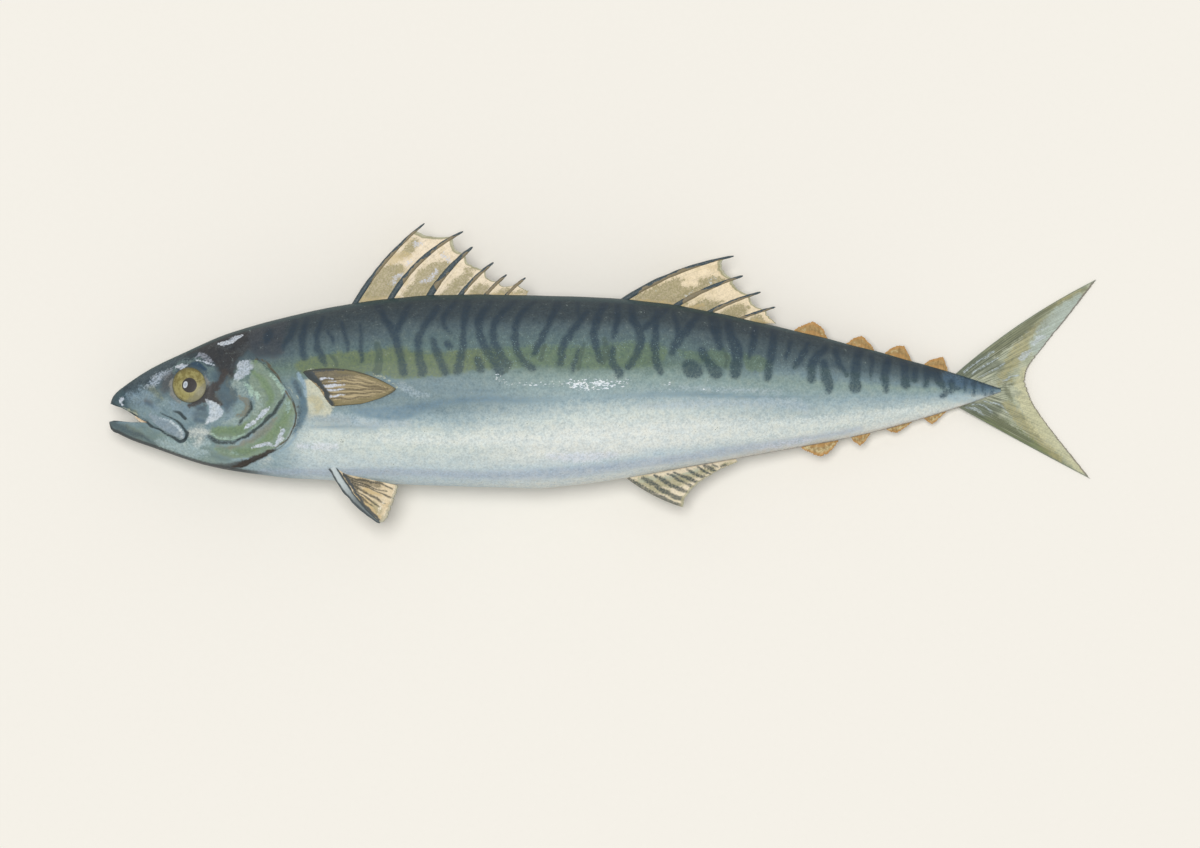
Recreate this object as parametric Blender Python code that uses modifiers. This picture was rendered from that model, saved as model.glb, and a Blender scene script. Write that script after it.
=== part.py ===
# A whole raw mackerel lying on its right side: head towards -X, back towards +Y, left side up.
# The fish is one solid. Blender units are metres; the sizes below are millimetres of a fish
# 350 mm long, and MM scales them, so TOTAL_LENGTH alone makes a larger or a smaller fish.
#
# Everything is set out from the tip of the lower jaw. X runs along the body, Y up the side from
# the body's axis, and Z is the height above the surface that the fish lies on.

import math

import bmesh
import bpy
import numpy as np
from mathutils import Matrix, Vector

TOTAL_LENGTH = 0.350  # jaw tip to the tip of the upper tail lobe
MM = TOTAL_LENGTH / 350

# The body seen from the side: (distance along it, height of its edge from the axis).
BODY_LENGTH = 317
BACK_LINE = (
    (0, -6.5), (1.2, -3.0), (5, 1.7), (11, 6.0), (28, 14.6), (41, 20.3), (56, 24.8), (84, 31.0),
    (104, 33.6), (150, 34.3), (196, 31.6), (238, 23.1), (281, 12.2), (299, 7.1), (317, 1.4),
)
BELLY_LINE = (
    (0, -11.0), (1.0, -13.0), (5, -15.4), (16, -19.9), (34, -25.9), (54, -29.4), (84, -31.7),
    (132, -33.7), (154, -34.1), (172, -32.2), (210, -25.9), (240, -20.6), (270, -14.7),
    (299, -6.4), (317, -0.2),
)
# Half of the body's thickness along it, and the height of its middle plane where it lies.
HALF_WIDTH = (
    (0, 0.9), (1.2, 2.3), (5, 4.3), (11, 6.7), (20, 9.6), (30, 12.0), (42, 14.4), (56, 16.6),
    (76, 18.9), (104, 20.4), (140, 20.8), (180, 19.5), (210, 16.9), (240, 13.2), (270, 8.9),
    (290, 5.7), (303, 3.7), (317, 1.1),
)
SPINE_HEIGHT = (
    (0, 16.2), (30, 17.6), (60, 19.0), (104, 20.0), (145, 20.1), (180, 19.0), (210, 16.5),
    (240, 12.8), (270, 8.6), (290, 5.6), (303, 4.0), (317, 2.6), (334, 1.5), (350, 0.8),
)
WIDEST_SHARE = 0.53  # how far up from the belly the body is thickest
FULLNESS = 0.9  # 1 gives an elliptical section, less gives fuller flanks

RING_POINTS = 40
STATION_STEP = 4.6  # the body's rings, close together at the snout and at the gill cover
SNOUT_STATIONS = (0.0, 0.5, 1.2, 2.4, 4.2, 7.0)

# The gill cover's rear edge, (angle round the body, distance along it), and how it stands proud.
GILL_EDGE = (
    (-90, 40.0), (-80, 41.7), (-61, 47.9), (-45, 55.7), (-37, 61.0), (-27, 64.6), (-16, 66.4),
    (-7, 66.2), (5.5, 62.0), (24.5, 54.0), (50, 49.0), (90, 46.0),
)
GILL_STATION = 60.0
GILL_STEP_WIDTH = 0.7
GILL_LIFT = 0.9
GILL_SINK = 0.5
GILL_LIFT_LENGTH = 16.0
GILL_SINK_LENGTH = 7.0
GILL_TOP_ANGLE = 38.0
GILL_THROAT_ANGLE = -84.0

# The open mouth: a wedge between the jaws, and the hollow behind it.
MOUTH_WEDGE = ((-4.0, -2.4), (1.2, -4.1), (5.0, -6.0), (13.5, -10.6), (5.0, -10.7), (-4.0, -10.3))
MOUTH_HOLLOW_CENTRE = (11.5, -10.2)
MOUTH_HOLLOW_RADII = (8.5, 2.6, 4.2)
MOUTH_HOLLOW_TILT = -24.0

EYE_CENTRE = (28.8, 2.4)
EYE_RADIUS = 6.0  # of the part that shows
EYE_THICKNESS = 3.2
EYE_BULGE = 0.9

FIN_THICKNESS = 1.2
FIN_ROOT_DEPTH = 2.4  # how deep a fin's root stands in the body
FIN_DROOP = 0.07  # how far a fin sinks for each millimetre that it stands out

# Fins of spines, front to back: (root distance, tip distance, tip height, bow). The skin between
# the spines stops short of their tips and dips a little more halfway to the next one.
FIRST_DORSAL = (
    (88.2, 112.0, 59.9, 0.048), (101.3, 125.7, 57.0, 0.08), (114.6, 129.1, 51.5, 0.05),
    (125.5, 136.5, 46.0, 0.04), (134.3, 141.2, 41.7, 0.03), (141.6, 147.9, 40.6, 0.03),
    (147.2, 151.6, 38.8, 0.0),
)
SECOND_DORSAL = (
    (185.0, 221.8, 48.3, 0.052), (202.6, 225.1, 41.3, 0.04), (214.4, 231.4, 35.5, 0.03),
    (225.1, 236.6, 30.2, 0.02), (232.6, 240.8, 24.4, 0.0),
)
BARE_TIP = 3.6
MEMBRANE_DIP = 1.8
SPINE_RADIUS = 0.75

ANAL_FIN_ROOTS = (184.6, 223.5)
ANAL_RAY = (19.2, -10.6)  # the first ray, root to tip
ANAL_RAYS = 9

PELVIC_ROOTS = ((78.0, -26.6), (84.5, -28.0))
PELVIC_TIPS = ((95.8, -46.8), (98.6, -45.2), (101.2, -38.4), (102.5, -33.0))
PELVIC_BOW = -0.085
PELVIC_SPREAD = 0.22  # how far each of the pair leans out from the middle plane

PECTORAL_ROOTS = ((68.9, 6.7), (79.9, -4.8))
PECTORAL_TIPS = ((101.9, 1.1), (99.6, -0.3), (96.4, -2.2), (90.0, -4.4))
PECTORAL_BOW = 0.12
PECTORAL_THICKNESS = 1.6

# Finlets behind the second dorsal and anal fins: (front end, length, height, place of its peak).
DORSAL_FINLETS = (
    (242.3, 12.5, 4.9, 0.64), (262.0, 9.7, 4.0, 0.58), (275.1, 10.2, 4.6, 0.6),
    (288.7, 9.0, 4.3, 0.66),
)
VENTRAL_FINLETS = (
    (246.2, 12.3, 4.3, 0.52), (263.6, 6.8, 3.2, 0.48), (275.6, 9.5, 2.2, 0.42),
    (288.6, 9.2, 3.0, 0.44),
)

# The forked tail: each lobe is a fan of rays between these roots and its trailing edge.
UPPER_LOBE_ROOTS = ((298.0, 4.0), (313.0, 1.0))
UPPER_LOBE_TIPS = ((350.0, 39.3), (342.0, 28.2), (330.2, 13.6), (326.3, 8.0), (325.6, 3.7))
LOWER_LOBE_ROOTS = ((298.0, -3.2), (313.0, 1.0))
LOWER_LOBE_TIPS = ((347.9, -30.2), (342.0, -22.1), (335.7, -14.2), (328.8, -4.6), (325.6, 3.7))
TAIL_RAYS = 9
UPPER_LOBE_BOW = 0.026
LOWER_LOBE_BOW = 0.004


def clear_scene():
    for obj in list(bpy.data.objects):
        bpy.data.objects.remove(obj, do_unlink=True)


def new_collection(name):
    collection = bpy.data.collections.new(name)
    bpy.context.scene.collection.children.link(collection)
    return collection


def along(line, x):
    """The height at x of the smooth line through these control points."""
    xs, ys = np.array(line, float).T
    slopes = np.gradient(ys, xs)
    x = min(max(x, xs[0]), xs[-1])
    i = min(max(int(np.searchsorted(xs, x)) - 1, 0), len(xs) - 2)
    width = xs[i + 1] - xs[i]
    t = (x - xs[i]) / width
    start = (1 + 2 * t) * (1 - t) ** 2 * ys[i] + t * (1 - t) ** 2 * width * slopes[i]
    end = t * t * (3 - 2 * t) * ys[i + 1] + t * t * (t - 1) * width * slopes[i + 1]
    return float(start + end)


def smooth_step(low, high, value):
    t = min(max((value - low) / (high - low), 0.0), 1.0)
    return t * t * (3 - 2 * t)


def power(value, exponent):
    return math.copysign(abs(value) ** exponent, value)


def section(x):
    """The body's section at x: its thickest height, its reach up and down, and its half width."""
    top, bottom = along(BACK_LINE, x), along(BELLY_LINE, x)
    widest = bottom + WIDEST_SHARE * (top - bottom)
    return widest, top - widest, widest - bottom, along(HALF_WIDTH, x)


def skin_point(x, angle, lift=0.0):
    """A point of the skin. Angle 0 is the middle of the left side, and 90 degrees is the back."""
    widest, up, down, half = section(x)
    reach = up if angle_is_dorsal(angle) else down
    y = reach * power(math.sin(angle), FULLNESS)
    z = half * power(math.cos(angle), FULLNESS)
    grow = 1 + lift / max(math.hypot(y, z), 1.0)
    return Vector((x, widest + y * grow, along(SPINE_HEIGHT, x) + z * grow))


def angle_is_dorsal(angle):
    return math.sin(angle) >= 0


def flank_depth(x, y):
    """How far the skin stands from the middle plane at this place on the body's side."""
    widest, up, down, half = section(x)
    share = (y - widest) / (up if y > widest else down)
    sine = power(min(max(share, -0.98), 0.98), 1 / FULLNESS)
    return half * math.sqrt(1 - sine * sine) ** FULLNESS


def mid_height(x, y):
    """The height of the fins' middle plane, which droops away from the body."""
    stand_out = max(0.0, y - along(BACK_LINE, x), along(BELLY_LINE, x) - y)
    return max(along(SPINE_HEIGHT, x) - FIN_DROOP * stand_out, FIN_THICKNESS / 2)


def mesh_object(name, bm, collection):
    bmesh.ops.recalc_face_normals(bm, faces=bm.faces)
    mesh = bpy.data.meshes.new(name)
    bm.to_mesh(mesh)
    bm.free()
    obj = bpy.data.objects.new(name, mesh)
    collection.objects.link(obj)
    return obj


def bake_modifiers(obj):
    """Replaces the object's data by its evaluated mesh, so that no modifier is left."""
    graph = bpy.context.evaluated_depsgraph_get()
    mesh = bpy.data.meshes.new_from_object(obj.evaluated_get(graph))
    obj.modifiers.clear()
    obj.data = mesh


def body_stations():
    """Ring places along the body, with one pair close together at the gill cover's edge."""
    gill_pair = [GILL_STATION - GILL_STEP_WIDTH / 2, GILL_STATION + GILL_STEP_WIDTH / 2]
    head_end = SNOUT_STATIONS[-1]
    head_count = round((gill_pair[0] - head_end) / STATION_STEP)
    trunk_count = round((BODY_LENGTH - gill_pair[1]) / STATION_STEP)
    head = np.linspace(head_end, gill_pair[0], head_count + 1)[1:]
    trunk = np.linspace(gill_pair[1], BODY_LENGTH, trunk_count + 1)
    return [*SNOUT_STATIONS, *head, *trunk]


def ring_place(station, angle):
    """Where a ring crosses the skin, bent to run along the gill cover's edge, and its relief."""
    side_angle = math.degrees(math.asin(math.sin(angle)))
    bend = smooth_step(12, GILL_STATION, station) * (1 - smooth_step(GILL_STATION, 120, station))
    x = station + bend * (along(GILL_EDGE, side_angle) - GILL_STATION)
    shown = 1 - smooth_step(GILL_TOP_ANGLE / 2, GILL_TOP_ANGLE, side_angle)
    shown *= smooth_step(GILL_THROAT_ANGLE, GILL_THROAT_ANGLE + 25, side_angle)
    gap = station - GILL_STATION
    if gap < 0:
        return x, shown * GILL_LIFT * math.exp(gap / GILL_LIFT_LENGTH) * smooth_step(15, 45, station)
    return x, -shown * GILL_SINK * math.exp(-gap / GILL_SINK_LENGTH)


def make_body(collection):
    """The head and trunk: a loft through rings, closed at both ends."""
    bm = bmesh.new()
    rings = []
    for station in body_stations():
        ring = []
        for k in range(RING_POINTS):
            angle = 2 * math.pi * (k + 0.5) / RING_POINTS
            x, lift = ring_place(station, angle)
            ring.append(bm.verts.new(skin_point(x, angle, lift) * MM))
        rings.append(ring)
    for front, back in zip(rings, rings[1:]):
        for k in range(RING_POINTS):
            after = (k + 1) % RING_POINTS
            bm.faces.new((front[k], front[after], back[after], back[k]))
    bm.faces.new(rings[0])
    bm.faces.new(rings[-1])
    return mesh_object("body", bm, collection)


def add_boolean(obj, operation, operand):
    """A Boolean with one object or a whole collection, applied at once."""
    cut = obj.modifiers.new(operation.title(), "BOOLEAN")
    cut.operation = operation
    cut.solver = "EXACT"
    if isinstance(operand, bpy.types.Collection):
        cut.operand_type = "COLLECTION"
        cut.collection = operand
    else:
        cut.object = operand
    bake_modifiers(obj)


def hide_cutter(obj):
    obj.hide_render = True
    obj.display_type = "WIRE"
    return obj


def make_mouth_wedge(cutters):
    """The gap between the jaws, as an outline extruded through the head."""
    curve = bpy.data.curves.new("mouth_wedge", "CURVE")
    curve.dimensions = "2D"
    curve.fill_mode = "BOTH"
    curve.extrude = 20 * MM
    outline = curve.splines.new("POLY")
    outline.points.add(len(MOUTH_WEDGE) - 1)
    for point, (x, y) in zip(outline.points, MOUTH_WEDGE):
        point.co = (x * MM, y * MM, 0, 1)
    outline.use_cyclic_u = True
    guide = bpy.data.objects.new("mouth_wedge_outline", curve)
    guide.location.z = along(SPINE_HEIGHT, 0) * MM
    cutters.objects.link(guide)
    return hide_cutter(mesh_from_curve(guide, "mouth_wedge", cutters))


def mesh_from_curve(guide, name, collection):
    """A curve's mesh with its caps welded on; the curve itself is removed."""
    bpy.context.view_layer.update()
    graph = bpy.context.evaluated_depsgraph_get()
    bm = bmesh.new()
    made = bpy.data.meshes.new_from_object(guide.evaluated_get(graph))
    bm.from_mesh(made)
    bmesh.ops.remove_doubles(bm, verts=bm.verts, dist=1e-6)
    bm.transform(guide.matrix_world)
    obj = mesh_object(name, bm, collection)
    bpy.data.objects.remove(guide, do_unlink=True)
    bpy.data.meshes.remove(made)
    return obj


def make_ellipsoid(name, centre, radii, turn, collection, segments=20):
    """A stretched sphere: its centre and radii in millimetres, and the matrix that turns it."""
    bm = bmesh.new()
    matrix = Matrix.Translation(Vector(centre) * MM) @ turn @ Matrix.Diagonal((*radii, 1 / MM)) * MM
    matrix[3][3] = 1.0
    bmesh.ops.create_uvsphere(
        bm, u_segments=segments, v_segments=segments // 2, radius=1, matrix=matrix
    )
    return mesh_object(name, bm, collection)


def make_mouth_hollow(cutters):
    x, y = MOUTH_HOLLOW_CENTRE
    turn = Matrix.Rotation(math.radians(MOUTH_HOLLOW_TILT), 4, "Z")
    centre = (x, y, along(SPINE_HEIGHT, x))
    return hide_cutter(make_ellipsoid("mouth_hollow", centre, MOUTH_HOLLOW_RADII, turn, cutters))


def make_eye(side, pieces):
    """A shallow dome square to the skin. Side is 1 for the left eye and -1 for the right."""
    x, y = EYE_CENTRE
    step = 1.5
    slope_x = (flank_depth(x + step, y) - flank_depth(x - step, y)) / (2 * step)
    slope_y = (flank_depth(x, y + step) - flank_depth(x, y - step)) / (2 * step)
    normal = Vector((-slope_x, -slope_y, 1.0)).normalized()
    sunk = EYE_THICKNESS - EYE_BULGE
    centre = Vector((x, y, flank_depth(x, y))) - normal * sunk
    outward = Vector((normal.x, normal.y, side * normal.z))
    turn = outward.to_track_quat("Z", "Y").to_matrix().to_4x4()
    place = (centre.x, centre.y, along(SPINE_HEIGHT, x) + side * centre.z)
    radius = EYE_RADIUS / math.sqrt(1 - (sunk / EYE_THICKNESS) ** 2)
    radii = (radius, radius, EYE_THICKNESS)
    return make_ellipsoid(f"eye_{'left' if side > 0 else 'right'}", place, radii, turn, pieces)


def ray_point(ray, v):
    """A place on a ray (root, tip, bow), from its root at v = 0 to its tip at v = 1."""
    root, tip, bow = Vector(ray[0]), Vector(ray[1]), ray[2]
    chord = tip - root
    return root + chord * v + Vector((-chord.y, chord.x)) * (4 * bow * v * (1 - v))


def fan_rays(roots, tips, count, bow):
    """Evenly spread rays from a straight root line to a trailing edge through its points."""
    places = np.linspace(0, 1, len(tips))
    rays = []
    for t in np.linspace(0, 1, count):
        tip = [np.interp(t, places, [p[k] for p in tips]) for k in (0, 1)]
        root = [roots[0][k] + (roots[1][k] - roots[0][k]) * t for k in (0, 1)]
        rays.append((root, tip, bow * (1 - t)))
    return rays


def rooted_ray(line, root_x, tip, bow):
    """A ray that comes out of the body's edge at root_x, with its root lengthened inwards."""
    edge = Vector((root_x, along(line, root_x)))
    way = (Vector(tip) - edge).normalized()
    return edge - way * (FIN_ROOT_DEPTH / max(abs(way.y), 0.4)), Vector(tip), bow


def make_fin(name, rays, pieces, bare=0.0, dip=0.0, rows=3, height=mid_height, thickness=FIN_THICKNESS):
    """A fin's skin: a sheet that passes through its rays, scalloped between them, made solid."""
    columns = (3 if dip else 2) * (len(rays) - 1)
    lengths = [(Vector(tip) - Vector(root)).length for root, tip, _ in rays]
    bm = bmesh.new()
    bmesh.ops.create_grid(bm, x_segments=columns, y_segments=rows, size=1)
    for vert in bm.verts:
        u = (vert.co.x + 1) / 2 * (len(rays) - 1)
        v = (vert.co.y + 1) / 2
        i = min(int(u), len(rays) - 2)
        share = u - i
        short = bare + dip * 4 * share * (1 - share)
        places = [ray_point(rays[k], v * (1 - short / lengths[k])) for k in (i, i + 1)]
        place = places[0].lerp(places[1], share)
        vert.co = Vector((place.x, place.y, height(place.x, place.y))) * MM
    obj = mesh_object(name, bm, pieces)
    solid = obj.modifiers.new("Thickness", "SOLIDIFY")
    solid.thickness = thickness * MM
    solid.offset = 0
    bake_modifiers(obj)
    return obj


def make_spine(name, ray, radius, pieces):
    """A stiff spine: a tube along the ray that tapers to its tip."""
    curve = bpy.data.curves.new(name, "CURVE")
    curve.dimensions = "3D"
    curve.bevel_depth = radius * MM
    curve.bevel_resolution = 1
    curve.use_fill_caps = True
    steps = 5
    spline = curve.splines.new("POLY")
    spline.points.add(steps - 1)
    for point, v in zip(spline.points, np.linspace(0, 1, steps)):
        place = ray_point(ray, v)
        point.co = (*(Vector((place.x, place.y, mid_height(*place))) * MM), 1)
        point.radius = 1 - 0.72 * v
    guide = bpy.data.objects.new(name + "_line", curve)
    pieces.objects.link(guide)
    return mesh_from_curve(guide, name, pieces)


def make_spiny_fin(name, spines, pieces):
    """A dorsal fin: its skin, and a spine along every ray but the last, short one."""
    rays = [rooted_ray(BACK_LINE, root_x, (x, y), bow) for root_x, x, y, bow in spines]
    make_fin(name, rays, pieces, bare=BARE_TIP, dip=MEMBRANE_DIP)
    for number, ray in enumerate(rays[:-1], start=1):
        make_spine(f"{name}_spine_{number}", ray, SPINE_RADIUS, pieces)


def make_anal_fin(pieces):
    rays = []
    for number in range(ANAL_RAYS):
        share = number / ANAL_RAYS
        root_x = ANAL_FIN_ROOTS[0] + (ANAL_FIN_ROOTS[1] - ANAL_FIN_ROOTS[0]) * share
        root_y = along(BELLY_LINE, root_x)
        tip = (root_x + ANAL_RAY[0] * (1 - share), root_y + ANAL_RAY[1] * (1 - share) ** 1.2)
        rays.append(rooted_ray(BELLY_LINE, root_x, tip, 0.0))
    make_fin("anal_fin", rays, pieces)


def make_pelvic_fin(side, pieces):
    """One of the pair below the breast, leaning away from the middle plane."""

    def leaning_height(x, y):
        stand_out = max(0.0, along(BELLY_LINE, x) - y)
        return mid_height(x, y) + side * (2.0 + PELVIC_SPREAD * stand_out)

    name = "pelvic_fin_" + ("left" if side > 0 else "right")
    rays = fan_rays(PELVIC_ROOTS, PELVIC_TIPS, 6, PELVIC_BOW)
    make_fin(name, rays, pieces, height=leaning_height)


def make_pectoral_fin(side, pieces):
    """The fin behind the gill cover, folded back and lying on the flank."""

    def flank_height(x, y):
        rise = 0.5 * smooth_step(PECTORAL_ROOTS[0][0], PECTORAL_TIPS[0][0], x)
        return along(SPINE_HEIGHT, x) + side * (flank_depth(x, y) + rise)

    name = "pectoral_fin_" + ("left" if side > 0 else "right")
    rays = fan_rays(PECTORAL_ROOTS, PECTORAL_TIPS, 5, PECTORAL_BOW)
    make_fin(name, rays, pieces, height=flank_height, thickness=PECTORAL_THICKNESS)


def make_finlet(name, front, length, height, peak, line, pieces):
    """A small soft fin: a low ray in front, the tallest behind the middle, and a short last one."""
    outward = 1 if line is BACK_LINE else -1
    rays = []
    for place, rise in ((0.0, 0.1), (peak, 1.0), (0.96, 0.35)):
        x = front + length * place
        edge = along(line, x)
        root = (x, edge - outward * FIN_ROOT_DEPTH / 2)
        rays.append((root, (x + 0.4, edge + outward * height * rise), 0.0))
    make_fin(name, rays, pieces, rows=2)


def make_tail(pieces):
    upper = fan_rays(UPPER_LOBE_ROOTS, UPPER_LOBE_TIPS, TAIL_RAYS, UPPER_LOBE_BOW)
    lower = fan_rays(LOWER_LOBE_ROOTS, LOWER_LOBE_TIPS, TAIL_RAYS, -LOWER_LOBE_BOW)
    make_fin("tail_fin", upper + lower[-2::-1], pieces, rows=6)


def make_fins(pieces):
    make_spiny_fin("first_dorsal", FIRST_DORSAL, pieces)
    make_spiny_fin("second_dorsal", SECOND_DORSAL, pieces)
    make_anal_fin(pieces)
    make_tail(pieces)
    for side in (1, -1):
        make_pelvic_fin(side, pieces)
        make_pectoral_fin(side, pieces)
        make_eye(side, pieces)
    for number, finlet in enumerate(DORSAL_FINLETS, start=1):
        make_finlet(f"dorsal_finlet_{number}", *finlet, BACK_LINE, pieces)
    for number, finlet in enumerate(VENTRAL_FINLETS, start=1):
        make_finlet(f"ventral_finlet_{number}", *finlet, BELLY_LINE, pieces)


def make_table_cutter(cutters):
    """A slab whose top is the surface that the fish lies on: it takes off what would sink in."""
    bm = bmesh.new()
    depth = 20 * MM
    size = Matrix.Diagonal((2 * TOTAL_LENGTH, TOTAL_LENGTH, depth, 1))
    matrix = Matrix.Translation((TOTAL_LENGTH / 2, 0, -depth / 2)) @ size
    bmesh.ops.create_cube(bm, size=1, matrix=matrix)
    return hide_cutter(mesh_object("table", bm, cutters))


def skin_material():
    material = bpy.data.materials.new("wet_skin")
    material.use_nodes = True
    shader = material.node_tree.nodes["Principled BSDF"]
    shader.inputs["Base Color"].default_value = (0.22, 0.29, 0.30, 1)
    shader.inputs["Roughness"].default_value = 0.35
    shader.inputs["Metallic"].default_value = 0.0
    return material


def centre_on_base(obj):
    """Puts the origin at the middle of the fish's box, on the surface that it lies on."""
    corners = np.array([v.co for v in obj.data.vertices])
    middle = (corners.min(0) + corners.max(0)) / 2
    obj.data.transform(Matrix.Translation((-middle[0], -middle[1], -corners.min(0)[2])))


def main():
    clear_scene()
    fish_parts = new_collection("mackerel")
    pieces = new_collection("fins_and_eyes")
    cutters = new_collection("cutters")

    fish = make_body(fish_parts)
    add_boolean(fish, "DIFFERENCE", make_mouth_wedge(cutters))
    add_boolean(fish, "DIFFERENCE", make_mouth_hollow(cutters))
    make_fins(pieces)
    add_boolean(fish, "UNION", pieces)
    for piece in list(pieces.objects):
        bpy.data.objects.remove(piece, do_unlink=True)
    bpy.data.collections.remove(pieces)
    add_boolean(fish, "DIFFERENCE", make_table_cutter(cutters))

    fish.name = "mackerel"
    centre_on_base(fish)
    fish.data.materials.clear()
    fish.data.materials.append(skin_material())
    fish.data.shade_smooth()
    fish.data.set_sharp_from_angle(angle=math.radians(40))


main()
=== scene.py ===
import math

import bmesh
import bpy
import numpy as np
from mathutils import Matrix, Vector


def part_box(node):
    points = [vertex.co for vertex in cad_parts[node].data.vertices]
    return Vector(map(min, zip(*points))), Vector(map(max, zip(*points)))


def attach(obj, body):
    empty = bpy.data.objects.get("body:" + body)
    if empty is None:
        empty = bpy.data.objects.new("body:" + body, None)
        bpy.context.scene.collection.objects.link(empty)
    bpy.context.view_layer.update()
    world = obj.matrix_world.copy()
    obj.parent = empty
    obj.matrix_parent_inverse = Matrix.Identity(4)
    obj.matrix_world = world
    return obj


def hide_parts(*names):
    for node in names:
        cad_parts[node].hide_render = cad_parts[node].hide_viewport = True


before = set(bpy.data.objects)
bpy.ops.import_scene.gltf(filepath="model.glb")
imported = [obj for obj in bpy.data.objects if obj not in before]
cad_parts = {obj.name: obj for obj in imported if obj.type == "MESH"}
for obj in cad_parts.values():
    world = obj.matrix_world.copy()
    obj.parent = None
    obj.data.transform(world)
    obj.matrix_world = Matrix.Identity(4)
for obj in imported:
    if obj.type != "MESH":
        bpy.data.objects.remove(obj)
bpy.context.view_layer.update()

# A raw mackerel lying on its right side, seen from straight above.
# The fish is laid out in its own millimetres: x from the tip of the lower jaw along the body,
# y up its side from the body's axis, z above the table. toFrame turns these into metres.

node = "mackerel"
lowCorner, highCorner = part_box(node)
fishLength = 350
unit = (highCorner[0] - lowCorner[0]) / fishLength
boxMiddle = ((lowCorner[0] + highCorner[0]) / 2, (lowCorner[1] + highCorner[1]) / 2)
axisBelowMiddle = 6.53  # how far the body's axis lies below the middle of the fish's box

pictureStep = 0.355  # one pixel of the picture, in the fish's millimetres
pictureJaw = (109, 392)  # the pixel where x and y are zero
far = 99.0  # the distance to a shape that is out of reach
tiny = 1e-9


def toFrame(x, y, z):
    return np.stack([
        boxMiddle[0] + (x - fishLength / 2) * unit,
        boxMiddle[1] + (y - axisBelowMiddle) * unit,
        z * unit + 0 * x,
    ], -1)


def toFish(points):
    return (
        (points[:, 0] - boxMiddle[0]) / unit + fishLength / 2,
        (points[:, 1] - boxMiddle[1]) / unit + axisBelowMiddle,
        points[:, 2] / unit,
    )


def seen(*points):
    # places read off the picture, in its pixels, as fish millimetres
    return [((px - pictureJaw[0]) * pictureStep, (pictureJaw[1] - py) * pictureStep) for px, py in points]


# Curves, gates and distances.


def smoothLine(points):
    # the smooth height line through (x, height) points, as a function of x
    xs, ys = np.array(points, float).T
    slopes = np.gradient(ys, xs)

    def at(x):
        x = np.clip(x, xs[0], xs[-1])
        i = np.clip(np.searchsorted(xs, x) - 1, 0, len(xs) - 2)
        width = xs[i + 1] - xs[i]
        t = (x - xs[i]) / width
        start = (1 + 2 * t) * (1 - t) ** 2 * ys[i] + t * (1 - t) ** 2 * width * slopes[i]
        end = t * t * (3 - 2 * t) * ys[i + 1] + t * t * (t - 1) * width * slopes[i + 1]
        return start + end

    return at


def smoothStep(low, high, value):
    t = np.clip((value - low) / (high - low), 0, 1)
    return t * t * (3 - 2 * t)


def hump(distance, reach):
    # 1 at no distance, and near 0 from twice the reach on
    return np.exp(-((distance / reach) ** 2))


def ripple(x, y, size, seed):
    # gentle uneven waves of about this length, mostly between -1 and 1
    waves, swell = 7, 2.6
    source = np.random.default_rng(seed)
    total = 0
    for _ in range(waves):
        way, start = source.uniform(0, 2 * math.pi, 2)
        length = size * source.uniform(0.7, 1.5)
        total = total + np.sin((x * math.cos(way) + y * math.sin(way)) * 2 * math.pi / length + start)
    return total / swell


def softCurve(points, steps=5, closed=False):
    # a smooth curve through points with any number of columns
    p = np.array(points, float)
    if closed:
        p = np.vstack([p, p[:1]])
        ends = np.vstack([p[-2:-1], p, p[1:2]])
    else:
        ends = np.vstack([2 * p[0] - p[1], p, 2 * p[-1] - p[-2]])
    found = []
    for i in range(len(p) - 1):
        a, b, c, d = ends[i : i + 4]
        for t in np.arange(steps) / steps:
            found.append((2 * b + (c - a) * t + (2 * a - 5 * b + 4 * c - d) * t * t
                          + (3 * b - a - 3 * c + d) * t ** 3) / 2)
    found.append(p[-1])
    return np.array(found)


def partWay(curve, share):
    # the place this share of the way along a curve's points
    steps = np.linspace(0, 1, len(curve))
    return tuple(float(np.interp(share, steps, curve[:, k])) for k in (0, 1))


def strokeGap(x, y, points, widths=(0, 0)):
    # how far outside a brush stroke each place lies, in millimetres: negative within the stroke
    share = np.linspace(0, 1, len(points))
    spread = np.interp(share, np.linspace(0, 1, len(widths)), widths)
    line = np.column_stack([np.array(points, float), spread])
    if len(line) == 1:
        return np.hypot(x - line[0, 0], y - line[0, 1]) - line[0, 2] / 2
    line = softCurve(line) if len(line) > 2 else line
    reach = line[:, 2].max() / 2 + 6
    near = (x > line[:, 0].min() - reach) & (x < line[:, 0].max() + reach)
    near &= (y > line[:, 1].min() - reach) & (y < line[:, 1].max() + reach)
    gaps = np.full(len(x), far)
    nx, ny, nearest = x[near], y[near], gaps[near]
    for a, b in zip(line, line[1:]):
        dx, dy = b[0] - a[0], b[1] - a[1]
        t = np.clip(((nx - a[0]) * dx + (ny - a[1]) * dy) / (dx * dx + dy * dy + tiny), 0, 1)
        gap = np.hypot(nx - a[0] - t * dx, ny - a[1] - t * dy) - (a[2] + t * (b[2] - a[2])) / 2
        nearest = np.minimum(nearest, gap)
    gaps[near] = nearest
    return gaps


def patchGap(x, y, points):
    # the same for the area inside a closed outline
    line = softCurve(points, closed=True)
    gap = strokeGap(x, y, line)
    inside = np.zeros(len(x), bool)
    for a, b in zip(line, line[1:]):
        crosses = (a[1] > y) != (b[1] > y)
        rise = b[1] - a[1] if b[1] != a[1] else tiny
        inside ^= crosses & (x < (b[0] - a[0]) * (y - a[1]) / rise + a[0])
    return np.where(inside, -np.minimum(gap, far / 2), gap)


def shapeGap(x, y, shape):
    # a shape is (points,) for an area, or (points, widths in pixels) for a stroke
    if len(shape) == 1:
        return patchGap(x, y, seen(*shape[0]))
    return strokeGap(x, y, seen(*shape[0]), [width * pictureStep for width in shape[1]])


# Materials.


def srgb(red, green, blue):
    def linear(value):
        value /= 255
        return value / 12.92 if value <= 0.04045 else ((value + 0.055) / 1.055) ** 2.4

    return (linear(red), linear(green), linear(blue), 1.0)


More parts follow.
